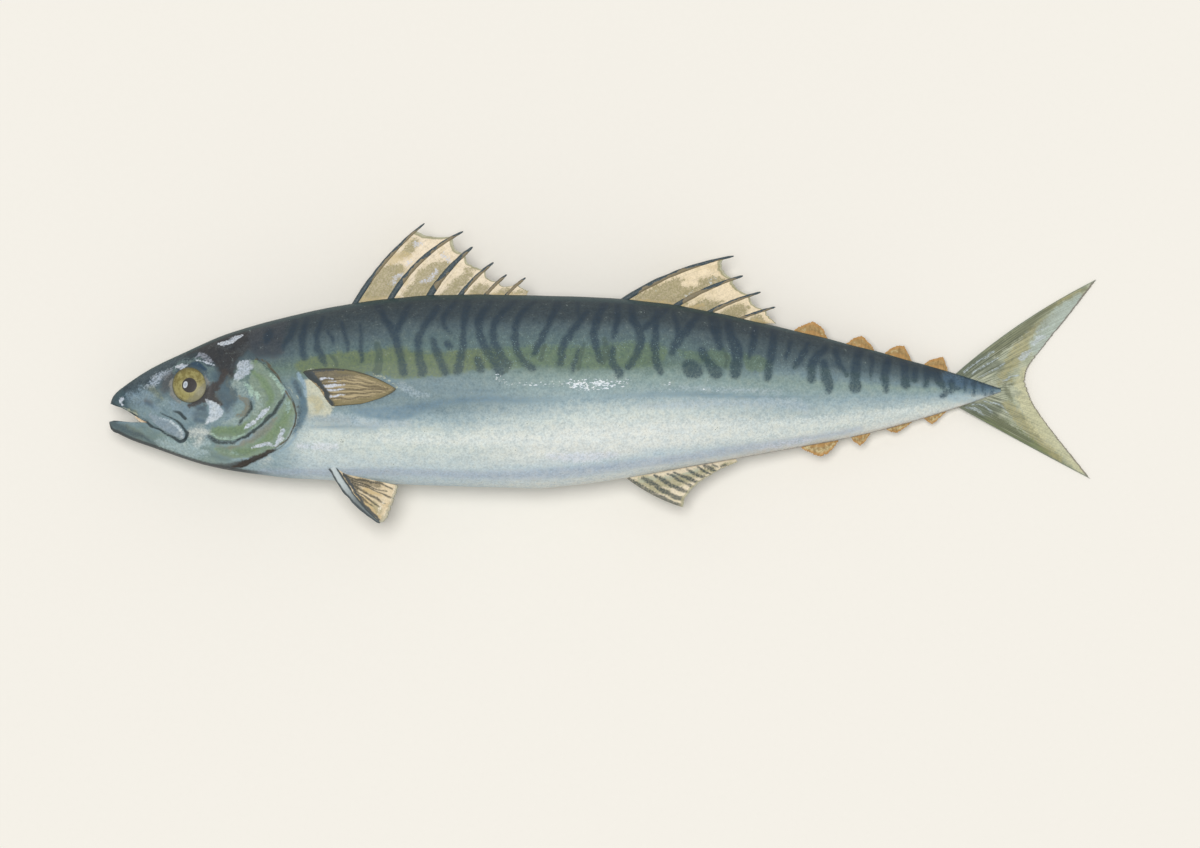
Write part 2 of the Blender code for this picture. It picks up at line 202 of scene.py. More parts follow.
class Value:
    # something that a material works out: +, -, * and abs make the nodes for it
    def __init__(self, paint, socket):
        self.paint = paint
        self.socket = socket

    def __add__(self, other):
        return self.paint.math("ADD", self, other)

    def __sub__(self, other):
        return self.paint.math("SUBTRACT", self, other)

    def __mul__(self, other):
        return self.paint.math("MULTIPLY", self, other)

    def __abs__(self):
        return self.paint.math("ABSOLUTE", self)


class Paint:
    # a procedural material: colours are given as red, green and blue up to 255, lengths in millimetres
    def __init__(self, name):
        self.made = bpy.data.materials.new(name)
        self.made.use_nodes = True
        self.tree = self.made.node_tree
        self.shader = self.tree.nodes["Principled BSDF"]

    def feed(self, socket, value):
        if isinstance(value, Value):
            self.tree.links.new(value.socket, socket)
        elif socket.type == "RGBA" and len(value) == 3:
            socket.default_value = srgb(*value)
        else:
            socket.default_value = value

    def node(self, kind, output, inputs, **settings):
        made = self.tree.nodes.new("ShaderNode" + kind)
        for name, value in settings.items():
            setattr(made, name, value)
        for place, value in inputs.items():
            self.feed(made.inputs[place], value)
        return Value(self, made.outputs[output])

    def math(self, operation, *values):
        return self.node("Math", 0, dict(enumerate(values)), operation=operation)

    def gate(self, value, low, high):
        # 0 below low and 1 above high
        inputs = {"Value": value, "From Min": low, "From Max": high}
        return self.node("MapRange", "Result", inputs, interpolation_type="SMOOTHSTEP")

    def mix(self, amount, below, above, blend="MIX"):
        return self.node("Mix", 2, {0: amount, 6: below, 7: above}, data_type="RGBA", blend_type=blend)

    def ramp(self, value, stops):
        found = self.node("ValToRGB", "Color", {"Fac": value})
        places = found.socket.node.color_ramp.elements
        while len(places) < len(stops):
            places.new(1.0)
        for place, (position, colour) in zip(places, stops):
            place.position = position
            place.color = srgb(*colour)
        return found

    def place(self, stretch):
        spot = self.node("TexCoord", "Object", {})
        return self.node("Mapping", "Vector", {"Vector": spot, "Scale": tuple(1 / s for s in stretch)})

    def noise(self, size, detail=3.0, stretch=(1, 1, 1), rough=0.55):
        # size is the length of the noise's spots
        inputs = {"Vector": self.place(stretch), "Scale": 1000 / size, "Detail": detail, "Roughness": rough}
        return self.node("TexNoise", "Fac", inputs)

    def cells(self, size, stretch=(1, 1, 1)):
        return self.node("TexVoronoi", "Distance", {"Vector": self.place(stretch), "Scale": 1000 / size})

    def rayNoise(self, across, along, start=0.0, detail=3.0):
        # streaks that follow a fin's rays: about this many across the fin and along each ray
        inputs = {0: self.field("across") * across, 1: self.field("out") * along, 2: start}
        spot = self.node("CombineXYZ", "Vector", inputs)
        return self.node("TexNoise", "Fac", {"Vector": spot, "Scale": 1.0, "Detail": detail})

    def grey(self, value):
        return self.node("CombineColor", "Color", {0: value, 1: value, 2: value})

    def field(self, name):
        return self.node("Attribute", "Fac", {}, attribute_name=name)

    def bump(self, height, strength, depth, under=None):
        # depth is how deep the full height goes
        inputs = {"Strength": strength, "Distance": depth / 1000, "Height": height}
        if under is not None:
            inputs["Normal"] = under
        return self.node("Bump", "Normal", inputs)

    def shade(self, values):
        for name, value in values.items():
            self.feed(self.shader.inputs[name], value)
        return self.made

    def seeThrough(self, colour, amount):
        # lets some of the light from behind come through a thin piece
        glow = self.node("BsdfTranslucent", "BSDF", {"Color": colour})
        shader = Value(self, self.shader.outputs["BSDF"])
        both = self.node("MixShader", "Shader", {0: amount, 1: shader, 2: glow})
        out = next(n for n in self.tree.nodes if n.type == "OUTPUT_MATERIAL")
        self.tree.links.new(both.socket, out.inputs["Surface"])

    def finish(self, colour, grain, speckle, roughness, gloss, depth, mottle=None, cloud=0.0, under=None,
               glow=0.0, strength=0.4):
        # the colour with its grain and mottling, and the grain in the surface
        if speckle:
            shade = grain * speckle + (1 - speckle / 2)
            if mottle is not None:
                shade = (mottle - 0.5) * cloud + shade
            colour = self.mix(1.0, colour, self.grey(shade), "MULTIPLY")
        self.shade({"Base Color": colour, "Roughness": roughness, "Specular IOR Level": gloss,
                    "Normal": self.bump(grain, strength, depth, under)})
        if glow:
            self.seeThrough(colour, glow)
        return self.made


# Meshes.


def newPiece(name, points, faces, materials):
    mesh = bpy.data.meshes.new(name)
    faces = faces.tolist() if isinstance(faces, np.ndarray) else faces
    mesh.from_pydata(np.asarray(points).tolist(), [], faces)
    mesh.update()
    piece = bpy.data.objects.new(name, mesh)
    bpy.context.scene.collection.objects.link(piece)
    for made in materials:
        mesh.materials.append(made)
    mesh.shade_smooth()
    return piece


def setField(piece, name, values):
    mesh = piece.data
    made = mesh.attributes.get(name) or mesh.attributes.new(name, "FLOAT", "POINT")
    made.data.foreach_set("value", np.asarray(values, np.float32))


def cornersOf(piece):
    places = np.empty(len(piece.data.vertices) * 3)
    piece.data.vertices.foreach_get("co", places)
    return places.reshape(-1, 3)


def settle(piece):
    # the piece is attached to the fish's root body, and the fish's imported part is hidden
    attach(piece, "root")
    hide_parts(node)
    return piece


def gridFaces(rows, columns, around=False):
    # quads between rows of points, each row with this many points
    wide = columns if around else columns - 1
    i, j = np.meshgrid(np.arange(rows - 1), np.arange(wide), indexing="ij")
    after = (j + 1) % columns
    corners = [i * columns + j, i * columns + after, (i + 1) * columns + after, (i + 1) * columns + j]
    return np.stack(corners, -1).reshape(-1, 4)


def tubeFaces(rows, columns):
    # rows of points that go all the way round, closed at both ends
    first, last = list(range(columns))[::-1], list(range((rows - 1) * columns, rows * columns))
    return gridFaces(rows, columns, around=True).tolist() + [first, last]


def fixNormals(piece):
    shape = bmesh.new()
    shape.from_mesh(piece.data)
    bmesh.ops.recalc_face_normals(shape, faces=shape.faces)
    shape.to_mesh(piece.data)
    shape.free()


def applyAll(piece):
    graph = bpy.context.evaluated_depsgraph_get()
    mesh = bpy.data.meshes.new_from_object(piece.evaluated_get(graph))
    piece.modifiers.clear()
    piece.data = mesh


def sideName(side):
    return "left" if side > 0 else "right"


# The body's shape.

bodyLength = 317
backLine = smoothLine([
    (0, -6.5), (0.6, -3.5), (1.1, -2.1), (1.9, -0.9), (3.3, 0.5), (5, 1.8), (11, 6.0), (28, 14.6), (41, 20.3),
    (56, 24.8), (84, 31.0), (104, 33.6), (150, 34.3), (196, 31.6), (238, 23.1), (281, 12.2), (299, 7.1),
    (317, 1.4),
])
bellyLine = smoothLine([
    (0, -11.2), (0.4, -12.7), (1.1, -13.7), (3.2, -14.8), (6.7, -16.5), (16, -19.9), (34, -25.9),
    (54, -29.4), (84, -31.7), (132, -33.7), (154, -34.1), (172, -32.2), (210, -25.9), (240, -20.6),
    (270, -14.7), (299, -6.4), (317, -0.2),
])
halfWidth = smoothLine([
    (0, 0.9), (1.2, 2.3), (5, 4.3), (11, 6.7), (20, 9.6), (30, 12.0), (42, 14.4), (56, 16.6),
    (76, 18.9), (104, 20.4), (140, 20.8), (180, 19.5), (210, 16.9), (240, 13.2), (270, 8.9),
    (290, 5.7), (303, 3.7), (317, 1.1),
])
spineHeight = smoothLine([
    (0, 16.2), (30, 17.6), (60, 19.0), (104, 20.0), (145, 20.1), (180, 19.0), (210, 16.5),
    (240, 12.8), (270, 8.6), (290, 5.6), (303, 4.0), (317, 2.6), (334, 1.5), (350, 0.8),
])
gillEdge = smoothLine([
    (-90, 40.0), (-80, 41.7), (-61, 47.9), (-45, 55.7), (-37, 61.0), (-27, 64.6), (-16, 66.4),
    (-7, 66.2), (5.5, 62.0), (24.5, 54.0), (50, 49.0), (90, 46.0),
])
body = dict(
    widest=0.53,  # how far up from the belly its widest line lies, as a share of its depth
    fullness=0.9,  # 1 for an oval section, less for a squarer one
    finDroop=0.07,  # how far a fin sinks for each millimetre that it stands out
)


def section(x):
    top, bottom = backLine(x), bellyLine(x)
    widest = bottom + body["widest"] * (top - bottom)
    return widest, top - widest, widest - bottom, halfWidth(x)


def power(value, exponent):
    return np.sign(value) * np.abs(value) ** exponent


def skinPoints(x, angle, lift):
    widest, up, down, half = section(x)
    sine, cosine = np.sin(angle), np.cos(angle)
    y = np.where(sine >= 0, up, down) * power(sine, body["fullness"])
    z = half * power(cosine, body["fullness"])
    grow = 1 + lift / np.maximum(np.hypot(y, z), 1)
    return x, widest + y * grow, spineHeight(x) + z * grow


def flankDepth(x, y):
    # how far the skin stands from the middle plane at a place on the body's side
    widest, up, down, half = section(x)
    share = np.clip((y - widest) / np.where(y > widest, up, down), -0.98, 0.98)
    sine = power(share, 1 / body["fullness"])
    return half * np.sqrt(1 - sine * sine) ** body["fullness"]


def midHeight(x, y):
    # the height of the fins' middle plane
    standOut = np.maximum(0, np.maximum(y - backLine(x), bellyLine(x) - y))
    return np.maximum(spineHeight(x) - body["finDroop"] * standOut, 0.6)


def backShare(x, y):
    # 0 at the back and 1 at the belly
    top, bottom = backLine(x), bellyLine(x)
    return np.clip((top - y) / np.maximum(top - bottom, 0.5), 0, 1)


# The head's relief.

eyeCentre = (28.8, 2.4)
eyeRadius = 6.0

jawLine = [(144, 421), (154, 428), (166, 434), (178, 439), (186, 440), (190, 433)]
cheekbone = [(162, 415), (172, 420), (181, 428), (186, 436)]
innerCover = [(209, 436.5), (217.6, 441), (231, 442.5), (245.5, 439), (260, 430), (273, 418), (283.6, 404)]
cheekHook = [(241, 396), (250, 400), (251.5, 410), (245, 418), (237, 424)]
coverTop = [(246, 360), (256, 361), (270, 373), (283, 386), (286.5, 396)]
upperPlate = [
    (256, 361.5), (262, 364), (270, 371), (277, 379), (283.5, 388), (285, 395), (280, 404), (270, 415),
    (258, 426), (247, 434), (237, 439), (224, 440.5), (212, 437), (210, 432), (220, 429), (234, 426),
    (246, 421), (254, 412), (256, 402), (253, 392), (250, 382), (253, 371),
]
jawPlate = [(150, 414), (162, 417), (174, 422), (184, 431), (186, 438), (180, 439), (166, 431), (154, 423)]
throatFolds = [
    [(233, 466), (250, 461), (265, 455), (279, 447)],
    [(214, 463), (236, 459), (258, 450), (276, 438)],
]

grooves = [  # (depth, reach, points), in millimetres
    (0.55, 0.55, jawLine), (0.35, 0.45, cheekbone), (0.6, 0.55, innerCover), (0.35, 0.55, cheekHook),
    (0.25, 0.5, coverTop), (0.3, 0.5, throatFolds[0]), (0.2, 0.5, throatFolds[1]),
]
plates = [(0.35, 1.2, upperPlate), (0.5, 0.8, jawPlate)]  # (height, width of its edge, points)
eyeSocket = dict(depth=0.7, edge=(-0.6, 0.3), rim=0.3, rimPlace=0.8, rimWidth=0.8)
nostril = dict(place=(123.5, 402), depth=0.7, radius=0.55, rim=0.15, rimPlace=1.3, rimWidth=0.5)


def headRelief(x, y):
    total = np.zeros(len(x))
    for depth, reach, points in grooves:
        total -= depth * hump(strokeGap(x, y, seen(*points)), reach)
    for height, edge, points in plates:
        total += height * (1 - smoothStep(-edge / 2, edge / 2, patchGap(x, y, seen(*points))))
    away = np.hypot(x - eyeCentre[0], y - eyeCentre[1]) - eyeRadius
    total -= eyeSocket["depth"] * (1 - smoothStep(*eyeSocket["edge"], away))
    total += eyeSocket["rim"] * hump(away - eyeSocket["rimPlace"], eyeSocket["rimWidth"])
    hole = seen(nostril["place"])[0]
    away = np.hypot(x - hole[0], y - hole[1])
    total -= nostril["depth"] * hump(away, nostril["radius"])
    total += nostril["rim"] * hump(away - nostril["rimPlace"], nostril["rimWidth"])
    return total


muscle = dict(length=7.5, height=0.035, lineHeight=0.09, lineWidth=0.55, unevenness=0.05)


def trunkRelief(x, y):
    # the muscle blocks under the skin, and the fine line along the flank
    share = backShare(x, y)
    chevron = np.abs(share - 0.5) * 16 - np.abs(share - 0.25) * 9
    blocks = np.sin((x + chevron) * 2 * math.pi / muscle["length"])
    fade = smoothStep(70, 90, x) * (1 - smoothStep(285, 305, x))
    middle = 4 * share * (1 - share)
    lateral = 0.36 + 0.1 * smoothStep(80, 200, x) + 0.02 * np.sin(x / 9)
    line = hump((share - lateral) * (backLine(x) - bellyLine(x)), muscle["lineWidth"])
    relief = fade * (muscle["height"] * blocks * middle + muscle["lineHeight"] * line)
    return relief + muscle["unevenness"] * ripple(x, y, 14, 3)


# The skin.

ringPoints = 178
gillStation = 60
gill = dict(lift=0.9, sink=0.55, liftLength=16, sinkLength=7, topAngle=38, throatAngle=-84)
gillLip = [  # (place along the body when flush, place when proud, height from 1, proud, to -1, sunk)
    (-2.6, -2.6, 1.0), (-1.7, -1.6, 1.02), (-1.0, -0.85, 1.0), (-0.55, -0.35, 0.9), (-0.2, -0.05, 0.65),
    (0.1, 0.06, 0.3), (0.4, -0.1, -0.1), (0.7, -0.35, -0.5), (1.0, -0.25, -0.85), (1.35, 0.3, -1.05),
    (1.8, 1.2, -1.0),
]


def skinRings():
    # for each ring: its place when flush, its place when proud, and its height from 1 to -1
    snout = 7 * np.linspace(0, 1, 27) ** 1.5
    head = np.linspace(7, gillStation - 3, 168)[1:]
    shoulder = np.linspace(gillStation + 2.2, 120, 108)
    trunk = np.linspace(120, bodyLength, 212)[1:]
    front, rear = np.concatenate([snout, head]), np.concatenate([shoulder, trunk])
    lip = np.array(gillLip)
    flush = np.concatenate([front, gillStation + lip[:, 0], rear])
    proud = np.concatenate([front, gillStation + lip[:, 1], rear])
    frontLevel = np.exp((front - gillStation) / gill["liftLength"]) * smoothStep(15, 45, front)
    rearLevel = -np.exp((gillStation - rear) / gill["sinkLength"])
    return flush, proud, np.concatenate([frontLevel, lip[:, 2], rearLevel])


headEnd = 68  # where the head's relief stops
restSoftness = 0.16  # how softly the flank bends into the strip it lies on


def makeSkinMesh(materials):
    flush, proud, level = (values[:, None] for values in skinRings())
    angle = 2 * math.pi * (np.arange(ringPoints)[None, :] + 0.5) / ringPoints
    angle = angle - 0.25 * np.sin(angle)  # closer together on the side that shows
    side = np.degrees(np.arcsin(np.sin(angle)))
    shown = 1 - smoothStep(gill["topAngle"] / 2, gill["topAngle"], side)
    shown = shown * smoothStep(gill["throatAngle"], gill["throatAngle"] + 25, side)
    station = flush + (proud - flush) * shown
    bend = smoothStep(12, gillStation, station) * (1 - smoothStep(gillStation, 120, station))
    x = station + bend * (gillEdge(side) - gillStation)
    lift = shown * np.where(level > 0, gill["lift"], gill["sink"]) * level
    angle = angle + 0 * x
    x, y, z = (part.ravel() for part in skinPoints(x, angle, lift))
    isHead = x < headEnd
    extra = trunkRelief(x, y)
    extra[isHead] = (headRelief(x[isHead], y[isHead]) + lipRelief(x[isHead], y[isHead])
                     + extra[isHead] * smoothStep(25, 60, x[isHead]))
    x, y, z = skinPoints(x, angle.ravel(), lift.ravel() + extra)
    z = (z + np.sqrt(z * z + restSoftness)) / 2
    return newPiece("skin", toFrame(x, y, z), tubeFaces(len(flush), ringPoints), materials)


mouthTop = [
    (-4, -3.2), (0.6, -4.3), (2.4, -5.0), (4.4, -5.6), (7, -7.0), (9.6, -8.6), (12.2, -10.1), (13.6, -10.8),
]
mouthBottom = [(11.5, -10.75), (8.0, -10.7), (4.6, -10.4), (1.9, -10.15), (0.3, -10.5), (-4, -11.2)]
lip = dict(swell=0.22, swellPlace=1.1, swellWidth=0.7, roll=0.55, rollWidth=0.55)
wedgeEnds = (-8, 45)  # how low and how high the cut between the jaws reaches
hollow = dict(middle=(11.0, -10.0), size=(9.0, 2.4, 4.6), tilt=-24, rings=16, around=28)


def lipRelief(x, y):
    # the lips are rolled in at the mouth's edge and a little fuller behind it
    gap = strokeGap(x, y, softCurve(mouthTop + mouthBottom, 3))
    reach = smoothStep(1.5, 5, x) * (1 - smoothStep(15, 18, x))
    swell = lip["swell"] * hump(gap - lip["swellPlace"], lip["swellWidth"])
    return reach * (swell - lip["roll"] * hump(gap, lip["rollWidth"]))


def cutMouth(skin, lining):
    # opens the mouth: the gap between the jaws, and the hollow behind it
    outline = softCurve(mouthTop + mouthBottom, 3)[:-1]
    ends = [np.column_stack([outline, np.full(len(outline), z)]) for z in wedgeEnds]
    wedge = newPiece("mouth_wedge", toFrame(*np.vstack(ends).T), tubeFaces(2, len(outline)), [lining])

    v = math.pi * (np.arange(1, hollow["rings"] + 1) / (hollow["rings"] + 1))[:, None]
    u = 2 * math.pi * (np.arange(hollow["around"]) / hollow["around"])[None, :]
    ball = np.stack([np.cos(v) + 0 * u, np.sin(v) * np.cos(u), np.sin(v) * np.sin(u)], -1).reshape(-1, 3)
    px, py, pz = ball.T * np.array(hollow["size"])[:, None]
    tilt = math.radians(hollow["tilt"])
    cx, cy = hollow["middle"]
    points = toFrame(cx + px * math.cos(tilt) - py * math.sin(tilt),
                     cy + px * math.sin(tilt) + py * math.cos(tilt), spineHeight(cx) + pz)
    space = newPiece("mouth_hollow", points, tubeFaces(hollow["rings"], hollow["around"]), [lining])

    for cutter in (wedge, space):
        fixNormals(cutter)
        cut = skin.modifiers.new("Cut", "BOOLEAN")
        cut.operation = "DIFFERENCE"
        cut.solver = "EXACT"
        cut.material_mode = "TRANSFER"
        cut.object = cutter
        applyAll(skin)
        bpy.data.objects.remove(cutter, do_unlink=True)


# The skin's paint, from the lowest layer up.
# A shape is ([points],) for an area, or ([points], (widths)) for a brush stroke, in the picture's
# pixels, with how strong it is at the end where that differs.


def layer(name, colour, soft, ragged, strength, dry, shapes, silver=False, dots=False, tones=None):
    # one coat of paint: its colour, or its tones from back to belly; how soft and how ragged its edge
    # is, in millimetres; how strong it is; how dry its brush was; whether it shines, and is all dots
    return dict(name=name, colour=colour, soft=soft, ragged=ragged, strength=strength, dry=dry,
                shapes=shapes, silver=silver, dots=dots, tones=tones)


bars = [
    ([(270, 333), (267, 342)], (11, 8), 0.3), ([(296, 323), (290, 337), (284, 348)], (8, 8, 6), 0.5),
    ([(307, 318), (304, 332), (303, 346), (305, 358)], (6, 7, 8, 6), 0.8),
    ([(323, 318), (318, 334), (318, 347), (322, 356), (326, 364)], (4, 6, 7, 7, 4), 0.85),
    ([(329, 332), (333, 338), (334, 345)], (5, 6, 3), 0.6),
    ([(342, 323), (346, 336), (349, 351)], (6, 7, 5), 0.25),
    ([(361, 324), (362, 340), (362, 352), (363, 362)], (3, 5, 7, 5), 0.6),
    ([(377, 303), (385, 318), (394, 333), (400, 352), (404, 372)], (6, 7, 8, 8, 9), 1),
    ([(410, 305), (404, 316), (398, 330)], (5, 7, 7), 1),
    ([(438, 308), (428, 322), (420, 336), (419, 352), (423, 372)], (6, 7, 7, 8, 10), 1),
    ([(456, 303), (446, 314), (444, 324), (451, 333)], (6, 6, 5, 3), 0.85),
    ([(448, 344), (450, 346)], (9,), 0.6), ([(433, 339), (438, 354), (446, 372)], (5, 8, 9), 1),
    ([(468, 303), (465, 318), (464, 332), (463, 350), (458, 371)], (8, 7, 6, 8, 9), 1),
    ([(478, 360), (481, 368)], (8, 10), 1),
    ([(491, 303), (480, 318), (480, 334), (487, 350), (500, 371)], (6, 8, 8, 9, 11), 1),
    ([(515, 301), (499, 317), (493, 334), (498, 350), (506, 364)], (5, 7, 8, 9, 9), 1),
    ([(535, 301), (520, 316), (515, 334), (518, 352), (523, 361), (533, 368)], (5, 6, 7, 7, 7, 8), 1),
    ([(558, 304), (550, 322), (542, 339), (534, 354)], (8, 6, 7, 6), 1),
    ([(587, 312), (576, 327), (565, 342), (560, 362)], (5, 7, 8, 8), 1),
    ([(578, 303), (578, 320)], (5, 3), 0.6), ([(578, 350), (575, 362), (572, 373)], (4, 5, 2), 1),
    ([(606, 302), (598, 317), (594, 336), (597, 348), (600, 360)], (7, 8, 8, 8, 7), 1),
    ([(618, 303), (617, 322), (613, 338)], (6, 7, 4), 0.95),
    ([(612, 349), (612, 361), (620, 374)], (7, 8, 8), 1),
    ([(631, 302), (633, 319), (640, 334), (638, 352), (628, 367)], (7, 8, 9, 8, 7), 1),
    ([(669, 306), (656, 318), (642, 330)], (6, 7, 7), 1),
    ([(657, 312), (655, 338), (655, 356), (660, 372)], (6, 8, 8, 7), 1),
    ([(674, 314), (678, 330), (676, 343)], (5, 6, 6), 0.9),
    ([(699, 314), (689, 327), (677, 342), (672, 353)], (7, 8, 9, 7), 1),
    ([(683, 361), (696, 361), (703, 370), (701, 377), (688, 378), (683, 370)],),
    ([(701, 350), (707, 361), (716, 373)], (7, 10, 14), 1),
    ([(713, 315), (716, 332), (720, 348)], (12, 12, 8), 0.5),
    ([(728, 318), (730, 334), (737, 350), (735, 374)], (8, 9, 12, 11), 1),
    ([(756, 325), (753, 342), (749, 358)], (7, 8, 4), 0.85),
    ([(774, 332), (772, 350), (767, 378)], (8, 9, 8), 1), ([(790, 342), (786, 358)], (6, 4), 0.8),
    ([(808, 343), (802, 356), (794, 367)], (5, 7, 5), 0.9),
    ([(825, 348), (813, 362), (811, 379)], (7, 9, 9), 1),
    ([(824, 363), (826, 376), (829, 387)], (8, 10, 11), 1), ([(828, 393)], (2.6,), 0.8),
    ([(836, 350), (839, 364), (847, 374)], (6, 7, 4), 0.95),
    ([(860, 348), (856, 368), (855, 388)], (8, 10, 11), 1), ([(872, 356), (871, 380)], (6, 2), 0.9),
    ([(888, 360), (885, 377), (887, 390)], (8, 9, 6), 1), ([(905, 364), (906, 385)], (8, 9), 0.95),
    ([(916, 370), (915, 379)], (8,), 0.8), ([(928, 371), (926, 386)], (9, 5), 0.95),
    ([(936, 373), (941, 383), (944, 388)], (8, 8, 5), 1), ([(943, 395), (948, 391)], (7, 4), 0.95),
    ([(952, 383), (952, 391)], (7,), 0.9), ([(958, 388)], (6,), 0.8),
    ([(966, 382), (965, 392)], (4, 3), 0.8), ([(975, 384), (975, 394)], (5, 3), 0.8),
    ([(984, 387), (986, 395)], (4, 3), 0.7), ([(993, 390), (996, 395)], (4, 2), 0.7),
]

barTones = [
    (0, (52, 62, 72)), (0.16, (54, 68, 80)), (0.26, (58, 74, 86)), (0.32, (58, 76, 80)), (0.38, (62, 80, 86)),
    (0.5, (64, 82, 92)),
]

